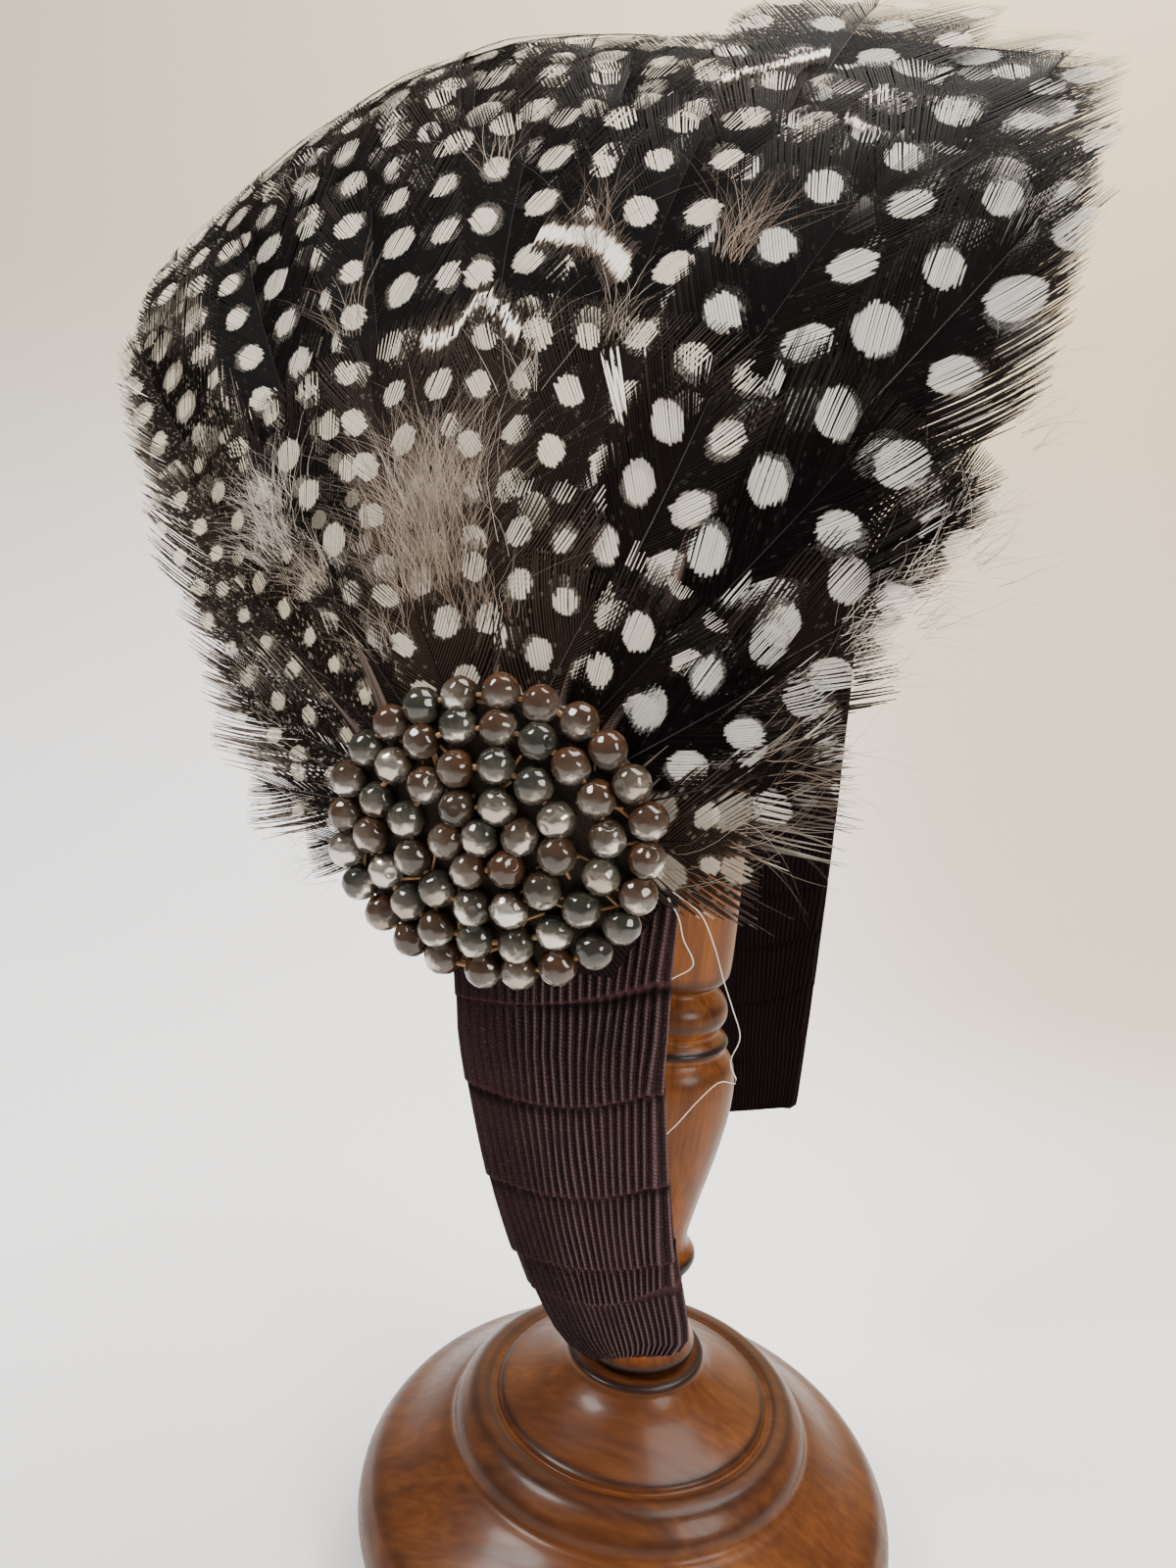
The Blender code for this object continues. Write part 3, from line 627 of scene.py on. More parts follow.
def vane(lay, pile, rng, look, cell, half):
    """One feather's barbs as thin strips on both sides of its shaft.

    The look holds tone, fine, brown, cool, fade, scale (of its spots), close (how nearly its barbs follow the
    shaft) and loose (how far they part near their ends). The cell is its corner and size in the bake map.
    """
    span = lay.length - BARE_TIP * lay.length - FIRST_BARB * lay.length
    count = max(12, int(span / BARB_PITCH))
    pitch, long, loose, columns = span / count, lay.length * 1.1, look["loose"], BARB_STEPS + 1
    t = (np.arange(count) + 0.5) / count
    rho = np.linspace(0, 1, columns)
    i, j = np.meshgrid(np.arange(count), np.arange(BARB_STEPS), indexing="ij")
    a = (i * columns + j) * 2
    for side in (-1, 1):
        s, w, turn = barb_lines(lay, rng, look, side, half, t)
        wide = pitch * np.sin(np.maximum(turn, 0.25)) * BARB_HALF_WIDTH
        wide = wide * (1 - (0.55 + 0.35 * loose) * smoothstep(0.80 - 0.25 * loose, 1.0, rho))
        wave = rng.normal(0, 0.012 + 0.25 * loose, (count, 1)) * rho ** 2
        points, strips = [], []
        for sign in (-1, 1):
            up = np.minimum(s - sign * np.sin(turn) * wide, lay.length * 1.02)
            aside = side * (w + sign * np.cos(turn) * wide)
            points.append(lay.points(up, aside, wave + sign * 0.03 * (1 - 0.5 * rho)))
            strips.append(np.stack([np.broadcast_to(rho, s.shape), np.full(s.shape, 0.5 + 0.5 * sign)], -1))
        uv = np.stack([s, side * w], -1) / look["scale"]
        bake = np.stack([(s / long).clip(0, 1), 0.5 + side * w / (2.6 * half)], -1)
        bake = np.repeat(bake.reshape(-1, 2), 2, axis=0)
        bake[1::2, 0] += pitch / long * 0.8
        downy = 1 - smoothstep(QUILL_DOWN * 0.5, QUILL_DOWN, t)
        tone, fine = np.full(count, look["tone"]), np.full(count, look["fine"])
        mark = np.stack([tone, fine, downy, rng.random(count)], -1)
        tint = np.empty((count, columns, 2, 4))
        tint[..., :3] = look["brown"], look["cool"], look["fade"]
        tint[..., 3] = rho[:, None]
        corners = (0, 2, 3, 1) if side < 0 else (0, 1, 3, 2)
        quads = np.stack([a + corner for corner in corners], -1).reshape(-1, 4)
        pile.add(np.stack(points, 2).reshape(-1, 3), quads, strip=np.stack(strips, 2).reshape(-1, 2),
                 vane=np.repeat(uv.reshape(-1, 2), 2, axis=0), tint=tint.reshape(-1, 4),
                 OFBake=(bake * 0.94 + 0.03) * cell[2] + np.array(cell[:2]),
                 mark=np.repeat(mark, columns * 2, axis=0))


def shaft(lay, pile, tone):
    """The feather's shaft, tapering to its tip."""
    share = np.linspace(0.0, SHAFT_END, 22)
    s = share * lay.length
    width = table(((0, 0.20), (0.3, 0.10), (SHAFT_END, 0.02)), share)
    lift = table(((0, 0.12), (0.3, 0.07), (SHAFT_END, 0.02)), share)
    columns = [lay.points(s, w * width, h * lift + 0.08) for w, h in ((-1, 0.0), (0, 1.0), (1, 0.0))]
    points = np.stack(columns, 1).reshape(-1, 3)
    mark = np.zeros((len(points), 4))
    mark[:, 0] = tone
    mark[:, 3] = np.repeat(share, 3)
    pile.add(points, grid_quads(len(share), 3), mark=mark)


def reach_at(bearing, root):
    return min(FEATHER_LENGTH, float(table(TIP_REACH, bearing)) - root)


def tip_limit(bearing):
    """How far the dark part of the fan reaches along a bearing, in degrees from the beads."""
    return table(TIP_REACH, bearing) - table(SOFT_EDGE, bearing)


def row_spacing(root):
    """Degrees of bearing from one feather of a row to the next, as in the CAD."""
    across = DOME_AXES[0] * math.sin(math.radians(root + 0.6 * FEATHER_LENGTH))
    return math.degrees((FEATHER_WIDTH + 0.8) / across)


def cad_feathers(row):
    """How many feathers the CAD has in a row."""
    root = FIRST_ROW + row * ROW_PITCH
    spacing = row_spacing(root)
    each_side = int(WIDEST_BEARING / spacing) + 1
    bearings = [(k + 0.5 * (row % 2)) * spacing for k in range(-each_side, each_side + 1)]
    return sum(abs(b) <= WIDEST_BEARING and reach_at(b, root) >= SHORTEST_FEATHER for b in bearings)


def row_places(rng, row):
    """Root, bearing, reach and lift of a row's feathers. Each layer's quills lie under the one before it."""
    placed = []
    for layer in range(LAYERS[row]):
        root = FIRST_ROW + (row + layer / LAYERS[row]) * ROW_PITCH
        spacing = row_spacing(root) / CROWDING[row]
        each_side = int(WIDEST_BEARING / spacing) + 1
        for k in range(-each_side, each_side + 1):
            bearing = (k + 0.5 * (row % 2) + layer / LAYERS[row]) * spacing + rng.normal(0, 0.05 * spacing)
            start = root + rng.uniform(-0.8, 0.8)
            reach = min(reach_at(bearing, start), float(tip_limit(bearing)) - start)
            if abs(bearing) > WIDEST_BEARING or reach < SHORTEST_FEATHER * 0.8:
                continue
            if row == 0:
                reach = min(reach, FIRST_ROW_REACH[layer] * rng.uniform(0.85, 1.15))
            reach = min(reach, float(table(LOW_REACH, bearing)))
            placed.append((start, bearing, reach * rng.uniform(0.86, 1.0), 0.0))
    return [*placed, *RAISED.get(row, ())]


def feather_look(rng, tip_angle, bearing):
    """How a feather looks by where its tip lies on the fan."""
    tip = dome_frame(np.array([tip_angle]), bearing)[0][0]
    left = float(smoothstep(-33, -45, bearing)) * float(smoothstep(62, 40, tip_angle))
    middle = math.exp(-((tip[0] + 10) / 20) ** 2 - ((tip[2] - 172) / 20) ** 2)
    right = float(smoothstep(2, 30, tip[0]))
    edge = float(smoothstep(5, 0, table(TIP_REACH, bearing) - tip_angle))
    low = float(smoothstep(150, 136, tip[2])) * right
    high = float(smoothstep(138, 158, tip[2]))
    brown = min(1.0, 0.9 * middle + 0.3 * left + 0.35 * (rng.random() < 0.22) + low)
    scale = float(np.interp(tip_angle, (22, 45), (0.84, 1.10))) + 0.34 * right
    on_left = float(smoothstep(-22, -40, bearing))
    on_right = float(smoothstep(18, 34, bearing)) * (bearing < 75)
    return {
        "tone": rng.random(),
        "fine": min(1.0, left * 1.1 + 0.8 * low),
        "brown": brown,
        "cool": min(1.0, max(0.0, right * 0.8 + rng.normal(0, 0.15))),
        "fade": min(1.0, edge * (0.25 + 0.65 * right * high + 0.35 * left)),
        "scale": scale * rng.uniform(0.94, 1.06),
        "close": max(on_left * (0.5 + 0.5 * left), 0.7 * on_right),
        "loose": min(1.0, 0.04 + edge * (0.18 + 0.45 * right + 0.10 * left)),
    }


def make_feathers():
    """The fan, a piece for each of the CAD's rows, and all its shafts in one piece."""
    rng = np.random.default_rng(SEED)
    vane_look, shaft_look = vane_material(), shaft_material()
    shafts, rows = Pile(), []
    number = 1
    for row in range(ROWS):
        placed = row_places(rng, row)
        per_side = math.ceil(math.sqrt(len(placed)))
        size = 1.0 / per_side
        pile = Pile()
        for i, (root, bearing, reach, lift) in enumerate(placed):
            roll = ROLL * np.clip(bearing / ROLL_BEARING, -1, 1)
            lay = Lay(root, bearing, reach, GAP + FEATHER_THICKNESS / 2, roll=roll,
                      curl=rng.uniform(0, 0.6), sweep=rng.normal(0, 0.03), lift=lift)
            look = feather_look(rng, root + reach, bearing)
            half = min(VANE_HALF, 0.34 * lay.length + 2.5)
            vane(lay, pile, rng, look, (i % per_side * size, i // per_side * size, size), half)
            shaft(lay, shafts, look["tone"])
        piece = pile.make(f"feather_row_{row + 1}", vane_look, mapped=True)
        rows.append(piece)
        count = cad_feathers(row)
        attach(piece, "root")
        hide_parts(*[f"feather_{number + i:02d}" for i in range(count)])
        number += count
    piece = shafts.make("feather_shafts", shaft_look)
    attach(piece, "root")
    make_loose(FanTop(rows))


class FanTop:
    """Finds how high the feathers stand over the dome, so that loose pieces can lie on them."""

    def __init__(self, pieces):
        graph = bpy.context.evaluated_depsgraph_get()
        self.trees = [BVHTree.FromObject(piece, graph) for piece in pieces]

    def heights(self, angles, bearings):
        """Heights at places in a row. Where nothing is found, the last one is taken again."""
        found = []
        for angle, bearing in zip(angles, bearings):
            here, _, out = (v[0] for v in dome_frame(np.array([angle]), bearing))
            start = Vector(flared(here + out * SKY) * MM)
            hits = (tree.ray_cast(start, Vector(-out), SKY * MM) for tree in self.trees)
            last = found[-1] if found else GAP
            found.append(max((SKY - hit[3] / MM for hit in hits if hit[0] is not None), default=last))
        return np.array(found)


def add_strand(pile, fan, place, s, w, h, half, mark):
    """A flat strand h mm over the feathers under it, s mm on and w mm aside from an angle and bearing."""
    lay = Lay(*place, reach=LOOSE_SPAN, base=0.0, rise=0.0)
    coarse = slice(None, None, 2)
    tops = fan.heights(*lay.place(s[coarse], w[coarse]))
    h = h + np.interp(np.arange(len(s)), np.arange(len(s))[coarse], tops)
    points = np.stack([lay.points(s, w - half, h), lay.points(s, w + half, h)], 1).reshape(-1, 3)
    pile.add(points, grid_quads(len(s), 2), mark=np.repeat(mark, 2, axis=0))


def add_tufts(pile, fan, rng):
    u = np.linspace(0, 1, TUFT_STEPS)
    for angle, bearing, length, width, count, tone, lift in TUFTS:
        for _ in range(count):
            start = rng.uniform(0, 0.45) * length * rng.random()
            side = rng.normal(0, 0.30) * width
            long = length * rng.uniform(0.35, 1.0)
            lean = rng.normal(0, 0.28) + 0.5 * side / width
            bend = rng.normal(0, 0.5)
            s = start + long * u * (1 - 0.12 * abs(bend) * u)
            w = side + long * (lean * u + bend * u ** 2)
            w = w + rng.normal(0, 0.10) * np.sin(u * rng.uniform(5, 14) + rng.uniform(0, 6))
            h = -0.2 + (lift * rng.uniform(0.3, 1.0) + 0.5) * u ** 0.8
            half = rng.uniform(0.016, 0.044) * (1 - 0.75 * u)
            mark = np.zeros((TUFT_STEPS, 4))
            mark[:, 0] = np.clip(tone + rng.normal(0, 0.12), 0, 1)
            mark[:, 3] = rng.random()
            add_strand(pile, fan, (angle, bearing), s, w, h, half, mark)


def add_bars(pile, fan, rng):
    u = np.linspace(-1, 1, BAR_STEPS)
    for path, length, pale, lean in BARS:
        here = np.stack([dome_frame(np.array([a]), b)[0][0] for a, b in smooth_path(path, 60)])
        for place in smooth_path(path, max(4, int(distances(here)[-1] / BAR_PITCH))):
            turn = math.radians(lean + rng.normal(0, 4))
            along = u * length / 2 * rng.uniform(0.8, 1.1)
            middle = rng.normal(0, 0.07)
            mark = np.zeros((BAR_STEPS, 4))
            mark[:, 0] = smoothstep(pale - 0.06, pale + 0.06, np.abs(u - middle))
            mark[:, 3] = rng.uniform(0, 0.4)
            half = 0.15 * (1 - 0.8 * np.abs(u) ** 3)
            s, w = along * math.cos(turn), along * math.sin(turn)
            add_strand(pile, fan, place, s, w, 0.12 - 0.2 * u ** 4, half, mark)


def make_loose(fan):
    """Down, loose barbs with pale bars, and the two threads that hang beside the beads."""
    rng = np.random.default_rng(SEED + 4)
    pile = Pile()
    add_tufts(pile, fan, rng)
    add_bars(pile, fan, rng)
    for path in THREADS:
        pile.add(*tube(smooth_path(path, 60), THREAD_RADIUS))
    piece = pile.make("feather_down", down_material())
    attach(piece, "root")


# The bead cluster

def cluster_point(x, z, height):
    """A point over the dome by its x and z."""
    side = (x - DOME_CENTRE[0]) / DOME_AXES[0]
    rise = (z - DOME_CENTRE[2]) / DOME_AXES[2]
    ball = np.array([side, -math.sqrt(1 - side ** 2 - rise ** 2), rise])
    return DOME_CENTRE + DOME_AXES * ball + unit(ball / DOME_AXES) * height


def pad_place(out, turn):
    """The x and z of a place on the pad by its share of the way to the rim and its turn."""
    x, z = (c + h * out * f(turn) for c, h, f in zip(BEADS_CENTRE, PAD_HALF_SIZE, (math.cos, math.sin)))
    return x, z


def pad_top(x, z):
    out = math.hypot((x - BEADS_CENTRE[0]) / PAD_HALF_SIZE[0], (z - BEADS_CENTRE[1]) / PAD_HALF_SIZE[1])
    return float(table(PAD_TOPS, out))


def bead_material():
    """Smoky pressed glass, silvered over one side of each bead. The silver lies on each bead's lower side:
    partly a real half coat, partly a painted reflection of the pale floor.
    """
    n = Nodes("silvered_glass_bead")
    tone, silver_and_floor_reflection, _, second = n.marks()
    # painted reflection: the silver side is each bead's lower side, where the pale floor would be mirrored
    edge = silver_and_floor_reflection + (n.noise(n.place(), 900.0, 3.0, 0.6) - 0.5) * 0.45
    mask = n.range(edge, 0.66, 0.80)
    glass = n.mix(n.range(tone, 0.30, 0.70), (0.034, 0.018, 0.010, 1), (0.017, 0.018, 0.013, 1))
    # a brown tint on each bead's upper side, away from the silver
    brown_upper_side = n.range(edge, 0.16, 0.34, 1.0, 0.0) * n.range(tone, 0.2, 0.8, 0.5, 0.1)
    glass = n.mix(brown_upper_side, glass, (0.055, 0.022, 0.009, 1))
    # painted light: the glass lightens towards the silvered lower side, as if lit from the floor below
    glass = n.mix(n.range(edge, 0.35, 0.66) * 0.6, glass, (0.085, 0.068, 0.052, 1))
    metal = n.mix(second, (0.56, 0.51, 0.45, 1), (0.25, 0.20, 0.16, 1))
    return n.done(Base_Color=n.mix(mask, glass, metal), Metallic=mask * 0.9,
                  Roughness=n.range(mask, 0, 1, 0.08, 0.22), IOR=1.5)


def thread_material():
    n = Nodes("bead_thread")
    tone = n.noise(n.place(), 700.0, 2.0)
    return n.done(Base_Color=n.mix(tone, (0.34, 0.17, 0.05, 1), (0.12, 0.055, 0.02, 1)), Roughness=0.35)


def felt_material():
    n = Nodes("bead_felt")
    fluff = n.noise(n.place(), 2600.0, 3.0)
    return n.done(Base_Color=n.mix(fluff, (0.013, 0.009, 0.006, 1), (0.048, 0.031, 0.019, 1)), Roughness=0.95,
                  Normal=n.bump(fluff, 0.6, 0.0003))


def bead_shape():
    """Points and triangles of one fire-polished bead: a ball with soft facets, dimpled at its hole."""
    radius = BEAD_DIAMETER / 2
    ball = bmesh.new()
    bmesh.ops.create_uvsphere(ball, u_segments=9, v_segments=6, radius=radius)
    bmesh.ops.bevel(ball, geom=ball.edges[:], offset=0.22, segments=3, profile=0.5, affect="EDGES")
    bmesh.ops.triangulate(ball, faces=ball.faces[:])
    points = np.array([tuple(v.co) for v in ball.verts])
    faces = np.array([[v.index for v in f.verts] for f in ball.faces])
    ball.free()
    out = np.linalg.norm(points, axis=1, keepdims=True)
    points = points * (0.55 + 0.45 * radius / out)
    axis = np.hypot(points[:, 0], points[:, 1])
    points[:, 2] *= np.interp(axis, (0, 0.3, 0.6), (0.80, 0.90, 1.0))
    return points, faces


def make_beads():
    """Rings of beads, the threads between them with stitches over the pad, and the pad."""
    rng = np.random.default_rng(SEED + 1)
    shape, faces = bead_shape()
    beads, threads, pad = Pile(), Pile(), Pile()
    for i, (count, half_width, half_height) in enumerate(BEAD_RINGS):
        route = []
        for k in range(count):
            turn = math.tau * (k + BEAD_SHIFT * i) / count
            route.append((BEADS_CENTRE[0] + half_width * math.cos(turn),
                          BEADS_CENTRE[1] + half_height * math.sin(turn)))
        for x, z in route:
            spin = np.array(Matrix.Rotation(rng.uniform(0, math.tau), 3, Vector(rng.normal(size=3))))
            points = shape @ spin.T
            middle = cluster_point(x, z, pad_top(x, z) + BEAD_SEAT) + rng.normal(0, 0.12, 3)
            # The silver half coat is turned mostly downwards, as a painted reflection of the floor.
            floor_reflection_side = unit(np.array([rng.normal(0, 0.45), rng.normal(-0.25, 0.4), -0.85 + rng.normal(0, 0.3)]))
            silver_and_floor_reflection = 0.5 + 0.5 * (points @ floor_reflection_side) / (BEAD_DIAMETER / 2)
            mark = np.zeros((len(points), 4))
            mark[:, 0] = rng.random()
            mark[:, 1] = silver_and_floor_reflection * 0.9 + rng.normal(0.05, 0.10)
            mark[:, 3] = rng.random()
            beads.add(points + middle, faces, mark=mark)
        for (x1, z1), (x2, z2) in zip(route, route[1:] + route[:1]):
            path = []
            for f in np.linspace(0, 1, 6):
                height = pad_top(x1, z1) + BEAD_SEAT + 0.35 * math.sin(math.pi * f) * rng.uniform(-1, 1)
                path.append(cluster_point(x1 + (x2 - x1) * f, z1 + (z2 - z1) * f, height))
            threads.add(*tube(path, rng.uniform(0.22, 0.34), 6))
    for _ in range(STITCHES):
        turn, out = rng.uniform(0, math.tau), math.sqrt(rng.uniform(0, 0.85))
        x, z = pad_place(out, turn)
        lean = rng.uniform(0, math.tau)
        path = []
        for f in np.linspace(-STITCH_HALF, STITCH_HALF, 7):
            height = pad_top(x, z) + 0.9 - 0.05 * f * f
            path.append(cluster_point(x + f * math.cos(lean), z + f * math.sin(lean), height))
        threads.add(*tube(path, STITCH_RADIUS))
    points = []
    for top, rings in ((True, PAD_RINGS), (False, PAD_RINGS[::-1])):
        for out in rings:
            for turn in np.linspace(0, math.tau, PAD_SIDES, endpoint=False):
                x, z = pad_place(out, turn)
                points.append(cluster_point(x, z, pad_top(x, z) if top else PAD_UNDERSIDE))
    pad.add(np.array(points), grid_quads(len(PAD_RINGS) * 2, PAD_SIDES, wrap=True))
    for name, pile, look in (("beads", beads, bead_material()), ("bead_threads", threads, thread_material()),
                             ("bead_pad", pad, felt_material())):
        piece = pile.make(name, look, smooth=True)
        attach(piece, "root")
        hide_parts("bead_cluster")


# The ribbon-wound legs

BAND_POINTS = smooth_path(BAND_PATH, BAND_STEPS + 1)
CROWN = int(np.argmax(BAND_POINTS[:, 1]))


def band_share(height, far):
    """How far along the band, from 0 at its near tip to 1 at its far tip, it reaches a height."""
    heights = BAND_POINTS[:, 1]
    if far:
        return 1 - np.interp(height, heights[:CROWN:-1], np.arange(BAND_STEPS - CROWN) / BAND_STEPS)
    return np.interp(height, heights[:CROWN], np.arange(CROWN) / BAND_STEPS)


def band_place(share):
    """Outer face of the band at shares of its length, with its outward direction, both as (y, z)."""
    kept = np.clip(share, 0, 1)
    steps = np.arange(BAND_STEPS + 1)
    along = unit(at_rows(np.gradient(BAND_POINTS, axis=0), steps, kept * BAND_STEPS))
    beyond = (share - kept) * BAND_LENGTH
    here = at_rows(BAND_POINTS, steps, kept * BAND_STEPS) + along * beyond[..., None]
    return here, np.stack([-along[..., 1], along[..., 0]], -1)


def ribbon_material():
    """Grosgrain: ribs are in the mesh, and the threads across them and the fuzz are here.

    The marks hold the rib's height, which also sets painted shade in the grooves and a painted highlight on
    the crests, the painted shadow under a lap, 1 for the far leg, which is painted darker as shade, and the
    lap's edge.
    """
    n = Nodes("grosgrain")
    crest, shadow, far, lap = n.marks()
    where = n.place()
    x, _, z = n.split(where)
    thread = n.math("SINE", z * 15000.0 + x * 5000.0)
    grain = n.noise(where, 4600.0, 2.0, 0.7)
    # painted shade in the rib grooves, darkened almost to black, and below a painted highlight on the crests
    tone = n.mix(n.range(crest, 0.12, 0.55), (0.0004, 0.0001, 0.0002, 1), (0.0165, 0.0075, 0.0084, 1))
    tone = n.mix(n.range(crest, 0.86, 1.0), tone, (0.105, 0.066, 0.067, 1))
    tone = n.mix(n.range(thread, -1.0, 1.0, 0.45, 0.0), tone, (0.004, 0.0016, 0.0018, 1))
    tone = n.mix(n.range(grain, 0.30, 0.50, 0.55, 0.0), tone, (0.003, 0.0012, 0.0014, 1))
    tone = n.mix(n.range(grain, 0.56, 0.74, 0.0, 0.55), tone, (0.085, 0.050, 0.052, 1))
    patch = n.range(n.noise(where, 90.0, 2.0), 0.35, 0.75, 0.0, 0.3)
    tone = n.mix(patch, tone, n.mix(0.5, tone, (0.05, 0.022, 0.022, 1)))
    tone = n.mix(n.range(lap, 0.0, 1.0, 0.0, 0.85), tone, (0.046, 0.0165, 0.0180, 1))
    tone = n.mix(shadow * 0.93, tone, (0.0006, 0.0001, 0.0002, 1))
    # painted shade: the far leg is darkened, as it stands in shade
    tone = n.mix(far, tone, n.mix(0.93, tone, (0.0026, 0.0005, 0.0008, 1)))
    fuzz = n.bump(n.noise(where, 1800.0, 4.0, 0.65), 0.55, 0.00022)
    return n.done(Base_Color=tone, Roughness=0.85, Normal=fuzz, Specular_IOR_Level=0.06)


def add_fray(pile, ring, above, far, rng):
    """Short fibres that stand out of a turn's lower edge."""
    count = len(ring)
    up = unit((above - ring).mean(axis=0))
    u = np.linspace(0, 1, 5)[:, None]
    for _ in range(FRAYS):
        i = rng.integers(count)
        aside = unit(ring[(i + 8) % count] - ring[i - 8])
        out = np.cross(aside, up)
        out *= math.copysign(1.0, float(out @ (ring[i] - ring.mean(axis=0))))
        long = rng.uniform(0.25, 1.1) * rng.uniform(0.4, 1.0)
        path = ring[i] - out * 0.05 + out * u * rng.uniform(0.1, 0.7) * long
        path = path - up * u * long * rng.uniform(-0.2, 1.0)
        path = path + aside * (u ** 2 * rng.normal(0, 0.7) * long)
        half = rng.uniform(0.02, 0.05) * (1 - 0.6 * u) * aside
        points = np.stack([path - half, path + half], 1).reshape(-1, 3)
        mark = np.tile([rng.uniform(0.6, 1.0), 0.0, far, rng.uniform(0.3, 1.0)], (len(points), 1))
        pile.add(points, grid_quads(len(path), 2), mark=mark)


def leg_rows(lowest, seams, top):
    """Rows of points up a leg: height, share of the lap, turn of ribbon, mark of its edge and shadow."""
    heights = (lowest - 0.02, lowest + 0.7, lowest + 2.2, (lowest + seams[0]) / 2, seams[0] - 0.25)
    rows = [(height, 0.0, 0, 0.0, 0.0) for height in heights]
    edges = [*seams, top]
    for strip, (low, high) in enumerate(zip(edges, edges[1:]), 1):
        for f, lap in LAP_RISE:
            seam_mark, shadow = max(0.0, 1 - f / 0.05), smoothstep(0.84, 0.99, f)
            rows.append((low + (high - low) * f, lap, strip, seam_mark, shadow))
    return [*rows, (top, 0.0, len(seams), 0.0, 0.0)]


def make_leg(name, node, far, top, seams, look, seed):
    """A leg wound in ribbon. Ribs run along it, and each turn's lower edge stands over the turn below it."""
    rng = np.random.default_rng(seed)
    sign, corner = (-1, FAR_CORNER) if far else (1, NEAR_CORNER)
    columns = 2 * (FACE_RIBS + EDGE_RIBS) * RIB_STEPS
    # ribs counted round the leg: over its face, round its -X edge, over its back and round its +X edge
    phase = np.arange(columns) / RIB_STEPS
    corners = np.cumsum([0, FACE_RIBS, EDGE_RIBS, FACE_RIBS, EDGE_RIBS])
    across = np.interp(phase, corners, (0, 1, 1, 0, 0))
    angle = np.pi * np.interp(phase, corners, (0, 0, 1, 1, 2))
    lowest = float(BAND_POINTS[-1 if far else 0][1])
    rows = leg_rows(lowest, seams, top)
    turns = len(seams) + 1
    shifts = rng.uniform(0, 1, turns)
    smiles = rng.uniform(1.3, 2.4, turns)
    tilts = rng.normal(-0.5, 0.5, turns) * sign
    wobble = rng.normal(0, 1, (turns, 3))
    points, marks = [], []
    for height, lap, strip, seam_mark, shadow in rows:
        share = band_share(height, far)
        fade = min(1.0, max(0.0, (height - lowest) / 6))
        bow = (smiles[strip] * (4 * across * (1 - across) - 1) + tilts[strip] * (across - 0.5) * 2) * fade
        rise = RIBBON_SLANT * (across - 0.5) * -table(BAND_WIDTHS, share)
        share_here = share + sign * (rise - bow) / BAND_LENGTH
        here, out = band_place(share_here)
        end = max(0.0, 1 - (height - lowest) / corner)
        narrow = corner * (1 - math.sqrt(max(0.0, 1 - end ** 2)))
        edge = table(BAND_EDGES, share_here) - narrow
        width = table(BAND_WIDTHS, share_here) - 2 * narrow
        half = LEG_THICKNESS / 2 + RIBBON_LAP * lap / 2
        waver = sum(wobble[strip, i] * np.sin(across * (5 + 6 * i) + strip + height * 0.4) for i in range(3))
        ridge = np.abs(np.sin(np.pi * (phase + shifts[strip] + 0.05 * waver))) ** 0.8
        ridge = 0.60 + (ridge - 0.60) * (1 - 0.32 * smoothstep(0.50, 0.95, across))
        thick = half + RIB_DEPTH * (ridge - 0.6) + 0.05 * np.sin(phase * 1.7 + strip)
        x = edge - half - across * (width - 2 * half) - thick * np.sin(angle)
        outward = RIBBON_LAP * lap / 2 - LEG_THICKNESS / 2 + thick * np.cos(angle)
        yz = here + out * outward[:, None]
        points.append(np.stack([x, yz[:, 0], yz[:, 1]], -1))
        # the rib's height also sets painted shade in the grooves and a painted highlight on the crests; the
        # far leg is painted darker as shade
        rest = [np.full_like(ridge, value) for value in (shadow, float(far), seam_mark)]
        marks.append(np.stack([ridge, *rest], -1))
    body = grid_quads(len(rows), columns, wrap=True)
    pile = Pile()
    pile.add(np.concatenate(points), body[:, ::sign], mark=np.concatenate(marks))
    for end_row, order in ((0, sign), (-1, -sign)):
        face, back = np.split(points[end_row], 2)
        pile.add(np.concatenate([face, back[::-1]]), grid_quads(2, columns // 2)[:, ::order], mark=marks[0])
    for i, row in enumerate(rows):
        if row[1] == 1.0 and rows[i - 1][1] < 1.0:
            add_fray(pile, points[i], points[i + 1], float(far), rng)
    piece = pile.make(name, look, smooth=True)
    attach(piece, "root")
    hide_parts(node)


# The stand

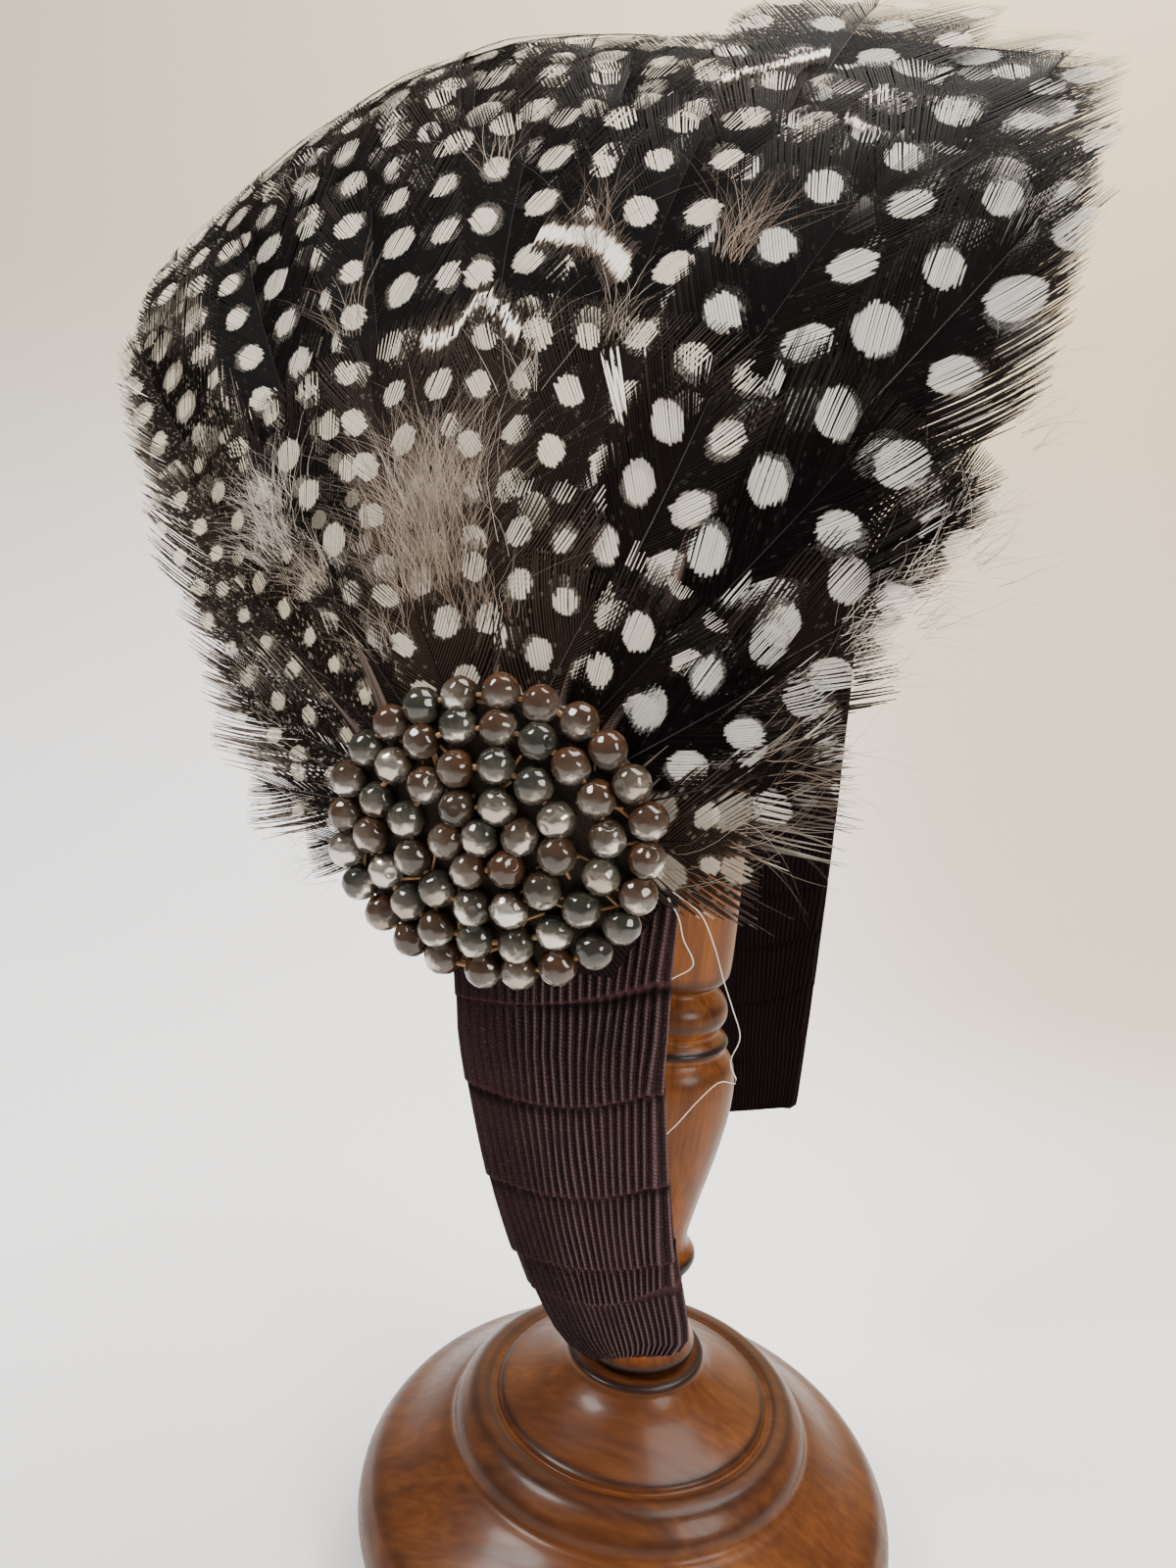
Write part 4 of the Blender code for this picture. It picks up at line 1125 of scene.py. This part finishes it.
def wood_material():
    """Varnished walnut: streaks along the grain, dark in the turned grooves."""
    n = Nodes("varnished_walnut")
    groove, foot, _, _ = n.marks()
    where = n.place()
    upright = n.put("ShaderNodeMapping", {"Vector": where, "Scale": (1.0, 1.0, 0.07)})
    lying = n.put("ShaderNodeMapping", {"Vector": where, "Rotation": (0.0, 0.0, 0.5),
                                        "Scale": (0.10, 1.0, 0.8)})
    grain = n.mix(foot, n.noise(upright, 260.0, 5.0, 0.6, 0.6), n.noise(lying, 150.0, 5.0, 0.62, 1.1))
    fine = n.mix(foot, n.noise(upright, 1500.0, 3.0), n.noise(lying, 1100.0, 3.0))
    tone = n.put("ShaderNodeValToRGB", {0: grain * 0.75 + n.noise(where, 28.0, 3.0) * 0.25})
    stops = tone.socket.node.color_ramp.elements
    stops.new(0.50)
    for stop, place, colour in zip(stops, (0.30, 0.50, 0.72), ((0.030, 0.0075, 0.0015, 1),
                                                               (0.120, 0.035, 0.0055, 1),
                                                               (0.235, 0.078, 0.012, 1))):
        stop.position = place
        stop.color = colour
    tone = n.mix(n.range(fine, 0.35, 0.7, 0.35, 0.0), tone, (0.03, 0.010, 0.005, 1))
    tone = n.mix(foot * 0.5, tone, (0.034, 0.012, 0.006, 1))
    tone = n.mix(groove, tone, (0.010, 0.004, 0.003, 1))
    return n.done(Base_Color=tone, Roughness=n.range(fine, 0.3, 0.7, 0.30, 0.42),
                  Normal=n.bump(fine, 0.08, 0.0002), Specular_IOR_Level=0.12,
                  Coat_Weight=0.09, Coat_Roughness=0.15)


def soften(profile, times):
    """The profile with its corners cut again and again, its ends kept."""
    p = np.array(profile, float)
    for _ in range(times):
        a, b = p[:-1], p[1:]
        cut = np.stack([a * 0.8 + b * 0.2, a * 0.2 + b * 0.8], 1).reshape(-1, 2)
        p = np.concatenate([p[:1], cut[1:-1], p[-1:]])
    return p


def make_turned(name, node, profile, look, lying):
    """A turned piece, smooth all round, with marks for where its profile dips and how level its grain is."""
    p = soften(profile, CORNER_CUTS)
    lengths = distances(p)
    along = np.gradient(p, axis=0)
    normal = np.stack([-along[:, 1], along[:, 0]], -1) / (np.linalg.norm(along, axis=1, keepdims=True) + 1e-9)
    before, after = (at_rows(p, lengths, lengths + step) for step in (-GROOVE_REACH, GROOVE_REACH))
    dip = -np.sum(((before + after) / 2 - p) * normal, axis=1)
    dark = np.clip(dip / GROOVE_DEPTH, 0, 1) ** 1.2 * (p[:, 0] > 1)
    turns = np.linspace(0, math.tau, TURNED_SIDES, endpoint=False)
    radius, height = p[:, :1], p[:, 1:]
    ring = (radius * np.cos(turns), radius * np.sin(turns), np.broadcast_to(height, (len(p), TURNED_SIDES)))
    points = np.stack(ring, -1).reshape(-1, 3)
    mark = np.zeros((len(points), 4))
    mark[:, 0] = np.repeat(dark, TURNED_SIDES)
    mark[:, 1] = lying
    pile = Pile()
    pile.add(points, grid_quads(len(p), TURNED_SIDES, wrap=True), mark=mark)
    piece = pile.make(name, look, smooth=True)
    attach(piece, "root")
    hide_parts(node)


def cloth_material():
    n = Nodes("stiffened_cloth")
    x, y, z = n.split(n.place())
    weave = n.math("SINE", y * 9000.0) * n.math("SINE", (x + z) * 9000.0)
    colour = n.mix(n.range(weave, -1, 1), (0.0040, 0.0016, 0.0018, 1), (0.012, 0.0065, 0.0068, 1))
    return n.done(Base_Color=colour, Roughness=0.9, Normal=n.bump(weave, 0.3, 0.0001),
                  Specular_IOR_Level=0.05)


def make_rest():
    """The stand, the two legs and the cloth on the solids that stay."""
    wood, ribbon, cloth = wood_material(), ribbon_material(), cloth_material()
    make_turned("turned_foot", "stand_foot", FOOT_PROFILE, wood, 1.0)
    make_turned("turned_post", "stand_post", POST_PROFILE, wood, 0.0)
    make_turned("turned_cap", "stand_cap", CAP_PROFILE, wood, 0.0)
    make_leg("near_leg_ribbon", "leg_near", False, NEAR_RIBBON_TOP, NEAR_SEAMS, ribbon, SEED + 2)
    make_leg("far_leg_ribbon", "leg_far", True, FAR_RIBBON_TOP, FAR_SEAMS, ribbon, SEED + 3)
    for node in ("band", "cap_shell"):
        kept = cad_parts[node]
        kept.data.materials.clear()
        kept.data.materials.append(cloth)


# Camera, light and floor

def view_ways():
    """Level directions to the right and ahead, as the camera sees them."""
    turn = math.radians(CAMERA_TURN)
    return np.array([math.cos(turn), math.sin(turn), 0]), np.array([-math.sin(turn), math.cos(turn), 0])


def make_camera():
    right, level = view_ways()
    pitch, roll = math.radians(CAMERA_PITCH), math.radians(CAMERA_ROLL)
    ahead = level * math.cos(pitch) - np.array([0, 0, math.sin(pitch)])
    up = np.cross(right, ahead)
    side = right * math.cos(roll) + up * math.sin(roll)
    top = up * math.cos(roll) - right * math.sin(roll)
    place = np.array([0, 0, CAMERA_HEIGHT]) - level * CAMERA_DISTANCE - right * CAMERA_SIDE
    data = bpy.data.cameras.new("camera")
    data.sensor_width = 36
    data.lens = data.sensor_width * FOCAL_PIXELS / IMAGE_LONG_SIDE
    data.clip_start = 0.01
    camera = add_object("camera", data)
    turned = Matrix([side, top, -ahead]).transposed().to_4x4()
    turned.translation = Vector(place * MM)
    camera.matrix_world = turned
    bpy.context.scene.camera = camera


def make_floor():
    """A pale sweep: floor, curve and wall in one sheet, just under the stand, with painted light in its
    colour.
    """
    right, ahead = view_ways()
    profile = [(SWEEP_FRONT, 0.0), (SWEEP_FLAT, 0.0)]
    for step in range(1, 9):
        a = math.radians(90 * step / 8)
        profile.append((SWEEP_FLAT + SWEEP_CURVE * math.sin(a), SWEEP_CURVE * (1 - math.cos(a))))
    profile.append((SWEEP_FLAT + SWEEP_CURVE, SWEEP_TOP))
    points = []
    for out, height in profile:
        for side in (-SWEEP_HALF_WIDTH, SWEEP_HALF_WIDTH):
            points.append(ahead * out + right * side + np.array([0, 0, height - SWEEP_DROP]))
    mesh = bpy.data.meshes.new("sweep")
    mesh.from_pydata(points, [], grid_quads(len(profile), 2).tolist())
    mesh.shade_smooth()
    n = Nodes("sweep")
    x, y, height = n.split(n.place())
    across = x * right[0] + y * right[1]
    beyond = x * ahead[0] + y * ahead[1]
    # Painted light: the floor lightens towards the right, the wall is painted darker and warmer than the
    # floor, and a warm light is painted over the back right.
    wall = n.mix(n.range(across, -0.4, 0.6), (0.55, 0.465, 0.355, 1), (0.66, 0.555, 0.40, 1))
    floor = n.mix(n.range(across, -0.22, 0.22), (0.755, 0.765, 0.79, 1), (0.845, 0.842, 0.835, 1))
    tone = n.mix(n.range(height, -0.05, 0.40), floor, wall)
    warm_light_tone = n.mix(n.range(height, 0.0, 0.40), (0.50, 0.415, 0.335, 1), (0.60, 0.49, 0.33, 1))
    warm_light_share = n.range(across, -0.05, 0.22) * n.range(beyond, 0.0, 0.30, 0.0, 0.95)
    mesh.materials.append(n.done(Base_Color=n.mix(warm_light_share, tone, warm_light_tone), Roughness=0.9))
    add_object("sweep", mesh)


def make_light():
    world = bpy.data.worlds.new("room")
    world.use_nodes = True
    back = world.node_tree.nodes["Background"]
    back.inputs["Color"].default_value = (0.95, 0.95, 1.0, 1)
    back.inputs["Strength"].default_value = 0.30
    bpy.context.scene.world = world
    for name, place, aim, size, power, colour in LIGHTS:
        data = bpy.data.lights.new(name, "AREA")
        data.shape = "DISK"
        data.size = size
        data.energy = power
        data.color = colour
        light = add_object(name, data)
        light.location = place
        light.rotation_mode = "QUATERNION"
        light.rotation_quaternion = (Vector(aim) - Vector(place)).to_track_quat("-Z", "Y")


make_camera()
make_floor()
make_light()
make_feathers()
make_beads()
make_rest()
